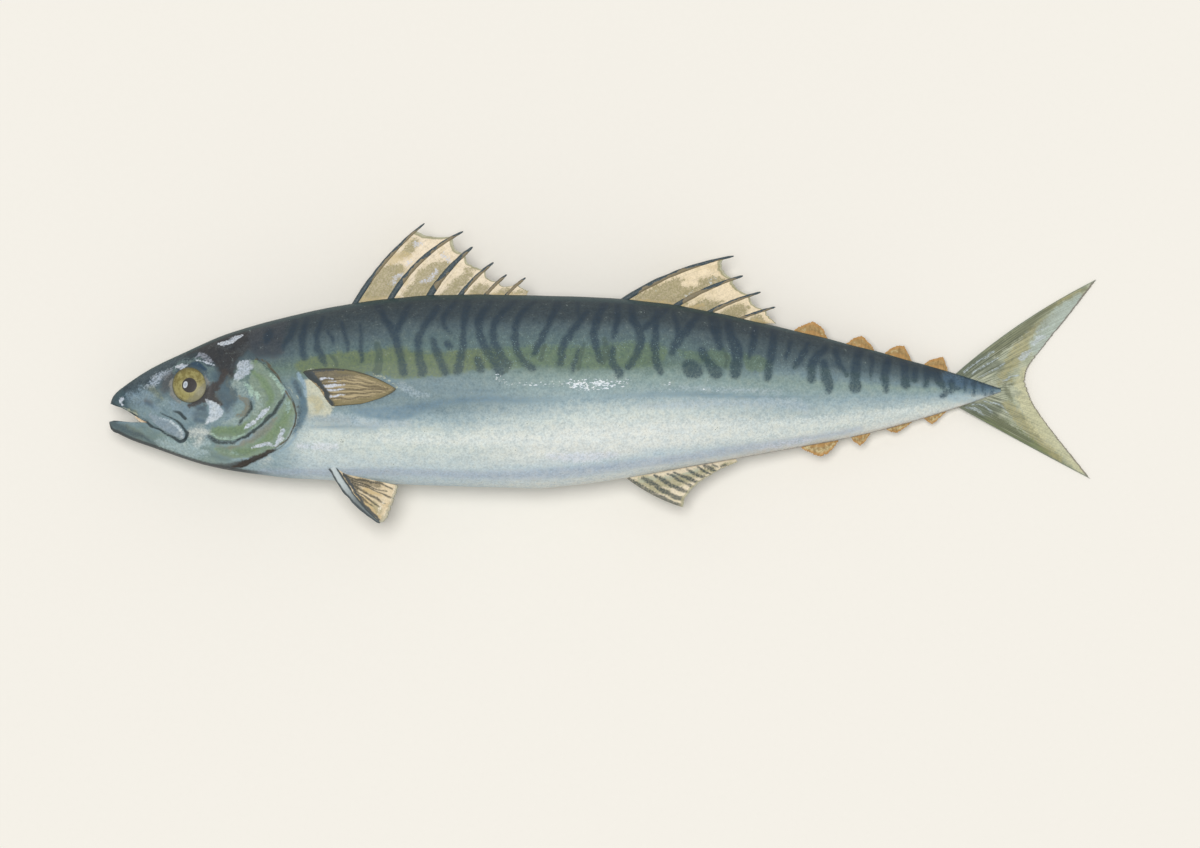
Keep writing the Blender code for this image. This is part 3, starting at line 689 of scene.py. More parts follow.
layers = [
    layer("mossFront", (110, 123, 86), 1.9, 0.8, 0.8, 0.32, [
        ([(296, 364), (308, 359), (322, 355), (342, 352), (370, 351), (386, 348), (398, 346), (412, 351),
         (430, 354), (450, 352), (478, 349), (500, 350), (500, 366), (470, 371), (455, 374), (440, 376),
         (420, 378), (400, 379), (388, 377), (370, 373), (340, 376), (313, 376), (302, 372)],)]),
    layer("mossMiddle", (104, 123, 94), 2.2, 0.9, 0.7, 0.3, [
        ([(486, 350), (520, 347), (560, 346), (590, 347), (612, 344), (640, 343), (664, 347), (664, 360),
         (640, 367), (610, 369), (580, 368), (560, 366), (520, 368), (500, 368), (486, 364)],)]),
    layer("mossRear", (100, 120, 98), 1.6, 0.9, 0.65, 0, [
        ([(678, 350), (700, 352), (722, 350), (732, 358), (728, 368), (710, 366), (690, 360)],),
        ([(742, 354), (756, 356), (768, 360), (766, 370), (748, 370)],)]),
    # blue-grey strokes along the flank; the broad ones just under the pectoral fin are the fin's painted
    # shadow
    layer("flankBlueAndShadow", (100, 128, 148), 2.4, 0.8, 0.62, 0.3, [
        ([(356, 411), (378, 413), (402, 413), (424, 407), (446, 403)], (5, 12, 14, 9, 4)),
        ([(440, 402), (480, 399), (520, 400), (560, 399)], (5, 7, 5, 2), 0.8),
        ([(452, 393), (480, 391), (500, 392)], (2, 3, 2), 0.6),
        ([(312, 427), (340, 426.5), (378, 427)], (1.5, 3, 1.5)),
        ([(600, 397), (680, 394), (760, 397), (820, 396)], (2, 5, 5, 2), 0.4)]),
    layer("flankPale", (176, 190, 198), 2.2, 0.9, 0.55, 0.3, [
        ([(318, 416), (350, 420), (380, 424), (410, 424)], (6, 9, 7, 4)),
        ([(402, 386), (412, 392), (428, 396)], (6, 8, 4), 0.4),
        ([(640, 407), (700, 404), (740, 403)], (4, 9, 5)),
        ([(742, 404), (776, 403), (804, 407), (806, 420)], (7, 10, 8, 4)),
        ([(680, 388), (730, 390), (780, 392)], (1.5, 2.5, 1.5))]),
    layer("bellyWhite", (226, 232, 227), 3.5, 0.9, 0.5, 0, [
        ([(380, 437), (440, 441), (500, 440), (560, 438)], (6, 10, 9, 6)),
        ([(560, 438), (640, 436), (700, 432), (780, 428), (860, 418), (930, 408)], (8, 20, 22, 16, 9, 5))]),
    layer("bellyLilac", (168, 182, 200), 2.2, 0.7, 0.6, 0, [
        ([(262, 472), (300, 472), (350, 472), (410, 472), (480, 475), (560, 473), (620, 466), (690, 457),
         (740, 449), (800, 440), (860, 429)], (5, 6, 6, 7, 8, 10, 9, 8, 8, 6, 3))]),
    layer("bellyShine", (216, 221, 232), 1.8, 1.0, 0.6, 0.3, [
        ([(548, 456), (580, 457), (616, 455)], (4, 9, 5)),
        ([(760, 448), (790, 444), (810, 440)], (2, 4, 2)), ([(300, 446), (336, 447)], (4, 7))], silver=True),
    layer("shoulderCream", (204, 204, 182), 1.6, 0.6, 0.9, 0, [
        ([(304, 381), (310, 379.5), (318, 385), (326, 395), (334, 405), (332, 413), (325, 416.5),
         (312, 417), (308, 414), (308, 400), (306.4, 391)],)]),
    layer("shoulderOchre", (180, 172, 134), 1.6, 0.8, 0.6, 0.2, [
        ([(313, 398), (320, 404), (318, 412)], (8, 9, 4))]),
    layer("shoulderGrey", (160, 172, 174), 1.8, 0.6, 0.6, 0, [
        ([(308, 417), (330, 420), (352, 421)], (7, 7, 3))]),
    layer("crown", (64, 65, 67), 2.2, 0.9, 0.95, 0, [
        ([(176, 360), (200, 345), (222, 333), (244, 324), (258, 319), (262, 326), (258, 340), (248, 350),
         (240, 358), (237, 366), (234, 378), (224, 378), (215, 366), (200, 352), (190, 354)],)]),
    layer("crownGrey", (80, 85, 88), 2.0, 1.0, 0.7, 0.3, [
        ([(242, 350), (252, 344), (262, 334)], (7, 9, 7)), ([(233, 366), (238, 362)], (5, 4)),
        ([(215, 345), (232, 347)], (3, 4))]),
    layer("crownPlum", (72, 77, 83), 2.4, 1.0, 0.85, 0.2, [
        ([(250, 322), (272, 316), (288, 316), (286, 332), (284, 344), (282, 355), (268, 357), (254, 354),
         (250, 342)],)]),
    layer("snoutEdge", (60, 76, 84), 1.6, 0.4, 0.95, 0, [
        ([(110, 402), (113, 395), (124, 385), (140, 374), (158, 363), (178, 353),
         (196, 344)], (7, 8, 7, 7, 8, 8, 8))]),
    layer("snoutUpper", (84, 98, 104), 2.4, 1.0, 0.75, 0.2, [
        ([(128, 392), (140, 380), (154, 371), (170, 363), (184, 357)], (6, 8, 8, 7, 4))]),
    layer("snoutPale", (140, 160, 164), 2.4, 1.0, 0.6, 0.3, [
        ([(134, 398), (144, 394), (154, 396)], (6, 8, 6)), ([(166, 402), (176, 406)], (6, 6))]),
    layer("snoutTip", (76, 94, 100), 1.8, 0.6, 0.85, 0, [
        ([(110, 402), (114, 394), (122, 389), (129, 396), (128, 405), (136, 412), (134, 416), (122, 410),
         (113, 407)],)]),
    layer("snoutBlue", (126, 146, 160), 2.0, 1.0, 0.6, 0.4, [
        ([(130, 396), (140, 398), (150, 404), (158, 410)], (10, 13, 9, 5)),
        ([(140, 390), (152, 396)], (7, 6)), ([(172, 404), (184, 410), (196, 414)], (6, 10, 8)),
        ([(226, 404), (230, 414), (228, 424)], (8, 9, 6))]),
    layer("snoutSheen", (172, 184, 196), 1.3, 0.8, 0.85, 0.6, [
        ([(148, 386), (154, 382), (161, 377), (168, 373), (174, 369)], (4, 9, 9, 5, 1))], silver=True),
    layer("noseShade", (88, 88, 88), 2.0, 0.8, 0.7, 0, [
        ([(173, 372), (168, 382), (165, 392)], (5, 12, 5)), ([(146, 400), (152, 404)], (5, 5), 0.5)]),
    layer("noseOlive", (122, 128, 108), 1.6, 0.8, 0.6, 0.3, [
        ([(150, 387), (156, 393), (162, 398)], (5, 6, 3)), ([(131, 410), (137, 414)], (3, 4)),
        ([(128, 428), (136, 431), (142, 436)], (6, 8, 4))]),
    layer("browTeal", (112, 132, 132), 1.3, 0.7, 0.7, 0.3, [
        ([(188, 362), (198, 359), (206, 366), (212, 372), (214, 380)], (3, 4, 4, 7, 5)),
        ([(174, 372), (180, 364), (188, 361)], (3, 5, 3))]),
    layer("browBlue", (58, 78, 96), 0.9, 0.5, 0.9, 0, [
        ([(193, 364), (200, 366), (206, 369)], (3, 5, 3)), ([(178, 373), (182, 371)], (2, 2))]),
    layer("eyeRing", (136, 136, 132), 0.9, 0.4, 0.8, 0, [
        ([(173, 380), (171.6, 388), (174, 396), (180, 402)], (3, 4.5, 4, 1.5)),
        ([(206, 376), (209, 384), (207, 392)], (2, 3.5, 2), 0.8)]),
    layer("templeBlue", (80, 98, 108), 2.0, 0.9, 0.85, 0.2, [
        ([(212, 373), (221, 373), (229, 376), (229, 389), (221, 388), (214, 381)],),
        ([(221, 384), (230, 381), (237, 384), (240, 395), (235, 405), (223, 408), (217, 398)],)]),
    layer("templeRust", (72, 69, 68), 1.4, 0.9, 0.95, 0, [
        ([(190, 406), (197, 402), (206, 397), (213, 390), (219, 383)], (3, 7, 12, 12, 6)),
        ([(206, 398), (215, 400), (221, 405)], (8, 8, 4)), ([(222, 380), (226, 372)], (7, 8), 0.8),
        ([(201, 409), (206, 406)], (5, 3), 0.7)]),
    layer("templeMix", (100, 104, 96), 1.6, 1.0, 0.4, 0.3, [
        ([(228, 384), (233, 390), (234, 400)], (5, 6, 5)), ([(217, 394), (221, 400)], (4, 4)),
        ([(230, 377), (236, 381)], (4, 4))]),
    layer("cheekSpots", (88, 106, 118), 1.2, 0.5, 0.8, 0, [
        ([(199, 408), (205, 409)], (5, 5)), ([(197, 420), (203, 421)], (6, 6), 0.7),
        ([(147, 403), (153, 407)], (5, 4), 0.5)]),
    layer("cheekSlate", (84, 98, 106), 2.0, 1.0, 0.7, 0.25, [
        ([(196, 414), (206, 414)], (6, 7)), ([(222, 396), (230, 402), (228, 410)], (7, 8, 5))]),
    # the cheek's silver skin, its pale tone partly a painted reflection
    layer("cheekPale", (194, 204, 212), 0.8, 0.45, 0.96, 0.25, [
        ([(207, 399), (211, 400), (217, 404), (222, 408), (224, 411), (222, 416), (215, 421),
         (206, 424.5), (209, 417), (210, 409)],)], silver=True),
    # the temple's silver skin, its pale tone partly a painted reflection
    layer("templeSilver", (182, 192, 202), 0.9, 0.6, 0.92, 0.3, [
        ([(240, 363), (246, 360), (256, 362.5), (256, 366), (251, 371), (251, 374), (244, 377.5),
         (238, 381), (234, 378), (238, 370)],)], silver=True),
    layer("plateGreen", (132, 149, 134), 1.2, 0.5, 0.96, 0, [(upperPlate,)]),
    layer("plateGrey", (156, 172, 166), 1.8, 0.9, 0.7, 0.3, [
        ([(256, 398), (260, 404), (256, 412)], (8, 9, 6)),
        ([(236, 384), (242, 388), (244, 396)], (9, 10, 7)),
        ([(226, 424), (236, 422), (246, 418)], (5, 7, 5))]),
    layer("plateMoss", (116, 138, 104), 1.5, 0.8, 0.75, 0, [
        ([(213, 431), (226, 430), (240, 430), (252, 425)], (6, 10, 10, 5)),
        ([(254, 372), (266, 384), (272, 398), (268, 408)], (5, 9, 9, 5), 0.6),
        ([(252, 363), (257, 362)], (3.5, 3.5), 0.8)]),
    # pale mint patches; the stroke along the plate's upper rear edge is a painted highlight
    layer("plateMint", (164, 190, 176), 0.9, 0.6, 0.85, 0.3, [
        ([(247, 385), (252, 391), (252, 397)], (5, 6, 3)), ([(258, 393), (260, 400)], (4, 4), 0.8),
        ([(271, 374), (277, 380), (283, 388), (284, 396)], (2, 4, 3, 1.5)),
        ([(212, 434), (222, 438.5), (234, 439), (246, 434)], (2, 2.6, 2.4, 1)),
        ([(254, 429), (264, 421), (274, 411), (281, 401)], (2, 3, 3, 2))]),
    layer("hookFill", (120, 117, 103), 0.9, 0.6, 0.85, 0.35, [
        ([(241, 398), (247, 400), (249, 407), (244, 414), (238, 416)], (4, 6, 6, 5, 3))]),
    layer("lowerPlate", (134, 152, 132), 1.2, 0.5, 0.96, 0, [
        ([(288, 396), (295, 405), (295.5, 418), (290, 433), (281, 445), (262, 454), (245, 458),
         (228, 457), (214, 449), (226, 446.5), (242, 444.5), (256, 436), (270, 424), (281, 410)],)]),
    layer("lowerMoss", (118, 139, 106), 1.8, 0.8, 0.7, 0, [
        ([(236, 452), (254, 449), (268, 439), (282, 424), (290, 410)], (5, 6, 7, 9, 5))]),
    layer("lowerGrey", (132, 132, 122), 1.2, 0.7, 0.7, 0, [
        ([(240, 445), (254, 438), (266, 429), (277, 418)], (3, 6, 7, 3)),
        ([(216, 446), (228, 448), (240, 446)], (2, 3, 2), 0.8)]),
    # pale blue-mint patches; the one at the lower plate's rear edge holds a painted highlight
    layer("lowerMint", (152, 176, 170), 0.9, 0.6, 0.8, 0.3, [
        ([(285, 401), (289, 405), (288, 412)], (4, 5, 2)), ([(232, 452), (244, 455)], (3, 2), 0.6)]),
    layer("jawDark", (80, 94, 100), 2.8, 1.0, 0.9, 0.15, [
        ([(109, 424), (116, 426), (126, 431), (140, 436), (156, 444)], (8, 10, 9, 7, 4))]),
    layer("jawMottle", (112, 130, 128), 2.0, 1.0, 0.6, 0.3, [
        ([(142, 426), (152, 434), (164, 440)], (6, 9, 7)),
        ([(204, 448), (216, 456), (230, 460)], (6, 7, 5))]),
    layer("jawTeal", (168, 187, 190), 2.4, 1.0, 0.75, 0.25, [
        ([(160, 442), (174, 446), (190, 451), (206, 453)], (6, 11, 14, 6)),
        ([(188, 446), (200, 444), (208, 442)], (6, 8, 5))]),
    layer("jawLine", (178, 192, 188), 0.9, 0.6, 0.7, 0.3, [
        ([(158, 449), (170, 453), (182, 457), (192, 459.5)], (1.2, 1.8, 1.8, 1)),
        ([(190.5, 431), (189, 438), (185, 444)], (0.8, 1.2, 0.8))]),
    layer("jawPlateTone", (142, 157, 166), 0.8, 0.4, 0.9, 0, [(jawPlate,)]),
    # a painted highlight along the jaw plate
    layer("jawPlateHighlight", (184, 197, 202), 0.7, 0.5, 0.9, 0.3, [
        ([(160, 418), (168, 420), (176, 425), (182, 431), (183, 435)], (1, 2, 2.6, 3, 2))], silver=True),
    layer("cream", (202, 207, 200), 3.4, 0.8, 0.85, 0, [
        ([(193, 433), (200, 432), (206, 433)], (8, 9, 7)), ([(201, 438), (197, 444)], (8, 5), 0.8),
        ([(181.5, 436)], (3,)), ([(262, 461), (270, 460)], (3, 4), 0.8)]),
    # the blue painted shadow behind the gill cover's rear edge
    layer("gillBlueShadow", (92, 116, 130), 1.5, 0.8, 0.9, 0.2, [
        ([(293, 379), (298, 387), (301.6, 395), (304, 404), (304.4, 411), (302.6, 418), (299.5, 426),
         (295, 434)], (2, 6, 6.5, 8, 8, 7, 6, 4))]),
    layer("gillSky", (146, 170, 184), 0.9, 0.5, 0.85, 0, [
        ([(299, 374), (303, 380.5), (306, 388), (306.5, 396)], (4, 6, 4, 2)),
        ([(297, 434), (290, 444), (278, 453)], (3, 3, 2), 0.7)]),
    layer("gillShadow", (72, 86, 94), 1.2, 0.9, 0.75, 0.3, [
        ([(295.5, 382), (299, 389), (302, 397)], (2, 3.4, 2.6)),
        ([(300.5, 404), (301, 414), (298.5, 424)], (1.6, 2.4, 1.6), 0.9)]),
    layer("throatShade", (78, 82, 82), 1.2, 0.6, 0.85, 0, [
        ([(196, 464), (210, 467), (226, 467), (240, 464), (252, 460)], (3, 4, 7, 6, 2))]),
    layer("throatBrown", (68, 62, 57), 0.7, 0.5, 0.95, 0, [
        ([(232, 467.5), (244, 463.5), (258, 457.5), (270, 452), (277, 449)], (2, 5, 6, 4, 1.4))]),
    layer("tailStem", (84, 108, 128), 3.0, 1.2, 0.8, 0.25, [
        ([(946, 372), (975, 380), (1003, 391), (1004, 395), (984, 395), (964, 391), (946, 386)],)]),
    layer("stemPale", (156, 180, 190), 1.6, 0.9, 0.6, 0.3, [
        ([(950, 398), (972, 400), (992, 399)], (5, 5, 3)), ([(984, 394), (990, 397)], (2, 2))]),
    layer("bars", None, 1.5, 0.75, 0.9, 0.3, bars, tones=barTones),
    layer("barShadows", (76, 92, 86), 0.8, 0.5, 0.7, 0.2, [
        ([(378, 346), (380, 358), (378, 371)], (8, 8, 9)),
        ([(330, 354), (336, 360), (337, 366)], (2, 5, 3)),
        ([(584, 344), (581, 358), (578, 370)], (3, 4, 3)),
        ([(604, 338), (606, 352), (603, 364)], (4, 7, 5)),
        ([(722, 348), (727, 360), (724, 368)], (3, 4, 3)), ([(511, 362), (506, 372)], (5, 4)),
        ([(545, 345), (541, 360)], (3, 5))]),
    # painted shade: dark lines along the mouth, the jaw plates and their grooves
    layer("creaseShade", (60, 70, 73), 0.45, 0.2, 0.95, 0, [
        ([(112, 402.5), (121, 408.5), (128, 411.5), (136, 416), (144, 421), (153, 426.5), (166, 433.5),
         (175, 438.5)], (1.4, 1.2, 1.2, 1.6, 2, 2.2, 2.2, 2.6)),
        ([(174, 438), (180, 441.5), (186, 439), (188, 433)], (2.8, 3.6, 3.8, 3.2)),
        ([(188, 433), (185, 428), (179, 422.5), (172, 418), (161, 413.5)], (3, 2.2, 1.6, 1.6, 0.8)),
        ([(174, 411), (180, 413), (186, 418)], (1.4, 2.6, 4)),
        ([(111, 421.6), (124, 420.8), (141, 422)], (1.4, 1.2, 1.6))]),
    # painted shade: dark lines along the gill cover's grooves and plate edges
    layer("coverCreaseShade", (66, 76, 77), 0.9, 0.5, 0.95, 0, [
        ([(208.5, 436.5), (214, 440), (222, 442.5), (232, 442), (241, 439),
         (251, 434)], (2, 4, 3.6, 3, 2.6, 3)),
        ([(250, 434.5), (260, 426.5), (269, 418), (277, 409), (283, 400),
         (287, 393)], (2.4, 3.4, 4.2, 4.2, 2.8, 1.4)),
        ([(250, 400.5), (252, 405), (251, 411), (246, 417), (240, 423)], (1, 3, 2.6, 1.8, 3))]),
    layer("edgeLines", (92, 84, 68), 0.4, 0.25, 0.88, 0, [
        ([(256, 359), (262, 360), (270, 366), (277, 375), (283, 385)], (1, 2, 2.2, 2, 1.2)),
        ([(286, 391), (291, 398), (296, 407), (296.8, 418), (294, 428), (290, 437), (283, 443.5),
         (275, 449)], (1.4, 1.6, 2, 1.6, 1.6, 1.6, 1.4, 1)), ([(299, 400), (300.5, 405)], (2, 2.4), 0.8)]),
    layer("paleLines", (186, 192, 172), 0.4, 0.3, 0.7, 0, [
        ([(284, 386), (290, 389), (297, 395), (299, 401)], (1, 1.4, 1.2, 1)),
        ([(123, 407), (131, 411.5), (137, 415)], (0.8, 1.2, 0.8)),
        ([(308, 370), (313, 369), (317, 371)], (1, 1.6, 1)), ([(252.5, 412), (254, 405)], (1, 1), 0.6),
        ([(374, 373.5), (385, 378), (393, 383), (398.5, 388)], (0.8, 1.4, 2, 1.8))]),
    layer("glints", (196, 204, 214), 0.45, 0.4, 0.97, 0.25, [
        ([(219, 343.5), (224, 344), (230, 341.5), (236, 338.5), (243, 335)], (1.5, 4, 5, 3.4, 0.6)),
        ([(177, 367.5), (183, 367), (189, 364.5)], (1.6, 4, 1.6)), ([(181.5, 367), (182.5, 371.5)], (5, 1)),
        ([(195.5, 360.5), (203, 361.2), (209, 363), (213.5, 366)], (0.7, 1.8, 1.8, 1.4)),
        ([(122.5, 398.3), (120.6, 400.2), (120.8, 403), (122.6, 405)], (2.6, 2.6, 1.4, 1.8)),
        ([(245, 428.5), (251, 425), (256, 420.5)], (2, 4, 1.6)),
        ([(258, 418.5), (264, 413.5), (270, 407)], (2, 5, 1.6)),
        ([(253, 447.5), (261, 446), (268, 443.5), (276, 446.5)], (2.4, 3.4, 3, 0.8)),
        ([(278, 444), (281, 436), (284.5, 431), (280.5, 428)], (4, 3.4, 3.4, 1)),
        ([(284, 431), (285, 436), (280, 443)], (1.6, 1.6, 1.2))], silver=True),
    layer("dimGlints", (148, 154, 166), 0.6, 0.5, 0.85, 0.5, [
        ([(195.5, 357), (200, 354.6), (206, 356), (213, 361)], (1.4, 2.4, 2.4, 1)),
        ([(204, 358), (212, 362)], (1, 1))], silver=True),
    layer("sparkle", (228, 235, 240), 1.4, 0, 0.95, 0, [
        ([(498, 377), (507, 384)], (8, 6), 0.55), ([(510, 385), (532, 384)], (5, 5), 0.62),
        ([(535, 384), (570, 384)], (5, 5), 0.6), ([(573, 385), (600, 384.5), (628, 381.5)], (12, 13, 5)),
        ([(662, 386), (672, 384)], (3,), 0.8), ([(706, 380), (716, 378)], (3,), 0.6),
        ([(660, 389), (740, 391)], (3,), 0.5)], silver=True, dots=True),
]

skinTones = dict(  # the fish's own tones, from which every part of the skin is shaded
    ridge=(60, 70, 75), slate=(70, 80, 85), deep=(90, 105, 110), sea=(100, 120, 120), moss=(105, 125, 115),
    mist=(125, 145, 150), haze=(140, 160, 155), steel=(155, 175, 180), silver=(205, 215, 210),
    pearl=(220, 225, 220), cool=(195, 210, 215), blush=(205, 200, 190),
)


def shaded(**places):
    # a run of tones: each with the share from back to belly where it lies, or several such shares
    found = []
    for tone, shares in places.items():
        for share in shares if isinstance(shares, tuple) else (shares,):
            found.append((share, skinTones[tone]))
    return sorted(found)


frontTrunk = shaded(ridge=0, slate=0.1, deep=0.18, sea=0.27, moss=0.33, mist=(0.45, 0.57), steel=0.64,
                    silver=(0.72, 0.82), cool=0.95)
middleTrunk = shaded(ridge=0, slate=0.1, deep=0.17, sea=0.26, moss=0.36, haze=0.43, steel=0.55, silver=0.64,
                     pearl=(0.75, 0.83, 1), cool=0.9)
rearTrunk = shaded(ridge=0, slate=0.1, deep=0.26, mist=0.38, haze=0.45, steel=0.6, silver=0.84, pearl=0.95,
                   blush=1)
headTones = shaded(ridge=0, slate=0.1, deep=0.24, mist=(0.5, 0.74), haze=0.86)
napeTones = shaded(ridge=0, slate=0.14, deep=0.23, moss=0.31, mist=0.48, haze=0.6, steel=(0.74, 1))

skinTints = [(0.34, (246, 250, 254)), (0.5, (250, 250, 250)), (0.66, (254, 250, 245))]
fieldReach = 2.4  # how far from a shape's edge its field still changes, in millimetres
skinFinish = dict(
    roughness=0.55, roughnessChange=0.15, silverShine=0.15, gloss=0.15, coat=0.03, coatRoughness=0.25,
    glossLight=(0.005, 0.005, 0.005, 0.0), grain=0.95, mottle=0.5, streak=0.25, tintLift=1.05,
    scaleSize=1.1, scaleDepth=0.06, paperDepth=0.03,
)
skinMarks = dict(
    fleck=(136, 166, 170), fleckSize=0.62, fleckStrength=0.5,
    jaw=(70, 74, 76), jawStrength=0.92,
    belly=(124, 112, 104), bellyStrength=0.55,
    back=(66, 90, 92), backStrength=0.6,
)


def reachOf(coat):
    return max(fieldReach, coat["soft"] * 1.6)


def paintLayers(piece, chosen):
    # how far within each layer's shapes every corner of the piece lies
    x, y, _ = toFish(cornersOf(piece))
    shakenX = x + 0.2 * ripple(x, y, 4, 11)
    shakenY = y + 0.2 * ripple(x, y, 4, 12)
    for coat in chosen:
        value = np.zeros(len(x))
        for shape in coat["shapes"]:
            strength = 1
            if isinstance(shape[-1], (int, float)):
                shape, strength = shape[:-1], shape[-1]
            gap = shapeGap(shakenX, shakenY, shape)
            value = np.maximum(value, np.clip(0.5 - gap / reachOf(coat), 0, 1) - 0.25 * (1 - strength))
        setField(piece, coat["name"], value)


def layered(paint, colour, chosen, grain, mottle):
    # the colour with the layers painted over it, and how much of it is silver skin or painted highlight
    silver = None
    rough = grain + mottle - 1.0
    for coat in chosen:
        reach = reachOf(coat)
        half = min(coat["soft"] / reach / 2, 0.5)
        value = paint.field(coat["name"])
        if coat["dots"]:
            amount = paint.gate(value * 0.25 + paint.noise(0.62, 3, (1.8, 1, 1), 0.6), 0.74, 0.78)
        else:
            amount = paint.gate(rough * (coat["ragged"] * 3 / reach) + value, 0.5 - half, 0.5 + half)
        amount = amount * coat["strength"]
        if coat["dry"]:
            amount = amount * (paint.gate(grain, 0.56, 0.42) * -coat["dry"] + 1.0)
        tone = paint.ramp(paint.field("share"), coat["tones"]) if coat["tones"] else coat["colour"]
        colour = paint.mix(amount, colour, tone)
        if coat["silver"]:
            silver = amount if silver is None else paint.math("MAXIMUM", silver, amount)
    return colour, silver


def paintSkin(skin):
    x, y, _ = toFish(cornersOf(skin))
    setField(skin, "share", backShare(x, y))
    setField(skin, "distance", x / bodyLength)
    setField(skin, "below", np.clip((y - bellyLine(x)) / 6, 0, 1))
    paintLayers(skin, layers)


def makeSkinMaterial():
    paint = Paint("wet_skin")
    gate, mix, ramp = paint.gate, paint.mix, paint.ramp
    share, along = paint.field("share"), paint.field("distance")
    cloud, streak = paint.noise(9, 4, (3, 1, 1)), paint.noise(1.7, 4, (6, 1, 1), 0.6)
    grain, mottle = paint.noise(0.75, 3, rough=0.7), paint.noise(2.1, 5, rough=0.62)
    unevenCloud, unevenMottle, unevenGrain = cloud - 0.5, mottle - 0.5, grain - 0.5

    drift = share + unevenCloud * 0.1 + unevenMottle * 0.05
    colour = mix(gate(along, 0.36, 0.52), ramp(drift, frontTrunk), ramp(drift, middleTrunk))
    colour = mix(gate(along, 0.6, 0.79), colour, ramp(drift, rearTrunk))
    nape = mix(gate(along, 0.185, 0.235), ramp(drift, napeTones), colour)
    colour = mix(gate(along, 0.115, 0.165), ramp(drift, headTones), nape)
    colour, silver = layered(paint, colour, layers, grain, mottle)

    # pale flecks over the bars and between them
    where = gate(share, 0.12, 0.27) * gate(share, 0.42, 0.34) * gate(mottle, 0.46, 0.58)
    where = where * (gate(along, 0.33, 0.42) * gate(along, 0.86, 0.74))
    dots = gate(paint.cells(skinMarks["fleckSize"]), 0.36, 0.2)
    colour = mix(dots * where * skinMarks["fleckStrength"], colour, skinMarks["fleck"])

    # the dark line along the jaw and throat, and the brown one along the belly's rear half
    below = paint.field("below") + unevenGrain * 0.12
    jaw = gate(below, 0.27, 0.13) * gate(along, 0.19, 0.15)
    colour = mix(jaw * skinMarks["jawStrength"], colour, skinMarks["jaw"])
    belly = gate(below, 0.07, 0.02) * gate(along, 0.56, 0.66)
    colour = mix(belly * skinMarks["bellyStrength"], colour, skinMarks["belly"])

    # the back's outline is a little greener
    colour = mix(gate(share, 0.035, 0.008) * skinMarks["backStrength"], colour, skinMarks["back"])

    # grain, mottling and brush streaks, and spots of a warmer and a cooler tint
    colour = mix(1.0, colour, ramp(mottle, skinTints), "MULTIPLY")
    shade = unevenGrain * skinFinish["grain"] + skinFinish["tintLift"]
    shade = shade + unevenMottle * skinFinish["mottle"] + (streak - 0.5) * skinFinish["streak"]
    colour = mix(1.0, colour, paint.grey(shade), "MULTIPLY")
    # the gloss adds a little light of its own, so the colour below it is that much deeper
    colour = mix(1.0, colour, skinFinish["glossLight"], "SUBTRACT")

    rough = unevenCloud * skinFinish["roughnessChange"] + skinFinish["roughness"]
    scales = paint.bump(paint.cells(skinFinish["scaleSize"], (1, 1.25, 1)), 0.35, skinFinish["scaleDepth"])
    return paint.shade({
        "Base Color": colour, "Roughness": rough - silver * skinFinish["silverShine"],
        "Specular IOR Level": skinFinish["gloss"], "Coat Weight": skinFinish["coat"],
        "Coat Roughness": skinFinish["coatRoughness"],
        "Normal": paint.bump(grain, 0.6, skinFinish["paperDepth"], scales),
    })


def makeMouthMaterial(name, spots, tones, roughness, bumps):
    paint = Paint(name)
    size, depth = bumps
    return paint.shade({
        "Base Color": paint.ramp(paint.noise(spots, 4), tones), "Roughness": roughness,
        "Normal": paint.bump(paint.noise(size, 4), 0.4, depth),
    })


fold = dict(
    front=9.2, rear=13.7, drop=1.5, inset=0.86, rows=14, columns=26, thick=0.3,
    tones=[(0.35, (208, 190, 162)), (0.6, (236, 222, 198))],
)
liningTones = [(0.3, (150, 120, 104)), (0.6, (206, 182, 160))]


def makeMouthFold(side, made):
    # the pale skin in the corner of the mouth, between the jaws
    t = np.linspace(0, 1, fold["columns"])[None, :]
    down = np.linspace(0, 1, fold["rows"])[:, None]
    x = fold["front"] + (fold["rear"] - fold["front"]) * t + 0 * down
    y = smoothLine(mouthTop)(x) + 0.3 - fold["drop"] * down * np.sin(math.pi * (0.1 + 0.75 * t)) ** 0.7
    inset = fold["inset"] - 0.12 * np.sin(math.pi * down)
    z = spineHeight(x) + side * flankDepth(x, y) * inset
    name = "mouth_fold_" + sideName(side)
    piece = newPiece(name, toFrame(x, y, z).reshape(-1, 3), gridFaces(fold["rows"], fold["columns"]), [made])
    thicken = piece.modifiers.new("Thickness", "SOLIDIFY")
    thicken.thickness = fold["thick"] * unit
    applyAll(piece)
    return settle(piece)


def makeSkin():
    lining = makeMouthMaterial("mouth_lining", 2.5, liningTones, 0.35, (0.8, 0.1))
    skin = makeSkinMesh([makeSkinMaterial()])
    cutMouth(skin, lining)
    folded = makeMouthMaterial("mouth_fold", 1.6, fold["tones"], 0.4, (0.6, 0.06))
    for side in (1, -1):
        makeMouthFold(side, folded)
    skin.data.set_sharp_from_angle(angle=math.radians(55))
    paintSkin(skin)
    print("skin:", len(skin.data.polygons), "faces,", [m.name for m in skin.data.materials])
    return settle(skin)


# The eyes.

eyeTones = dict(
    pupil=(66, 63, 62), blotch=(112, 102, 58), grey=(130, 128, 108), glint=(168, 178, 190),
    glintEdge=(200, 207, 214), height=1.15, pupilShare=0.435, glintPlace=(-1.45, 0.2),
    glintSize=(0.95, 1.5), speckle=0.76, rings=34, spokes=96,
    iris=[(0.43, (168, 160, 112)), (0.55, (160, 152, 102)), (0.7, (152, 144, 92)),
          (0.85, (160, 152, 102)), (0.95, (134, 128, 88)), (1.0, (106, 104, 84))],
)


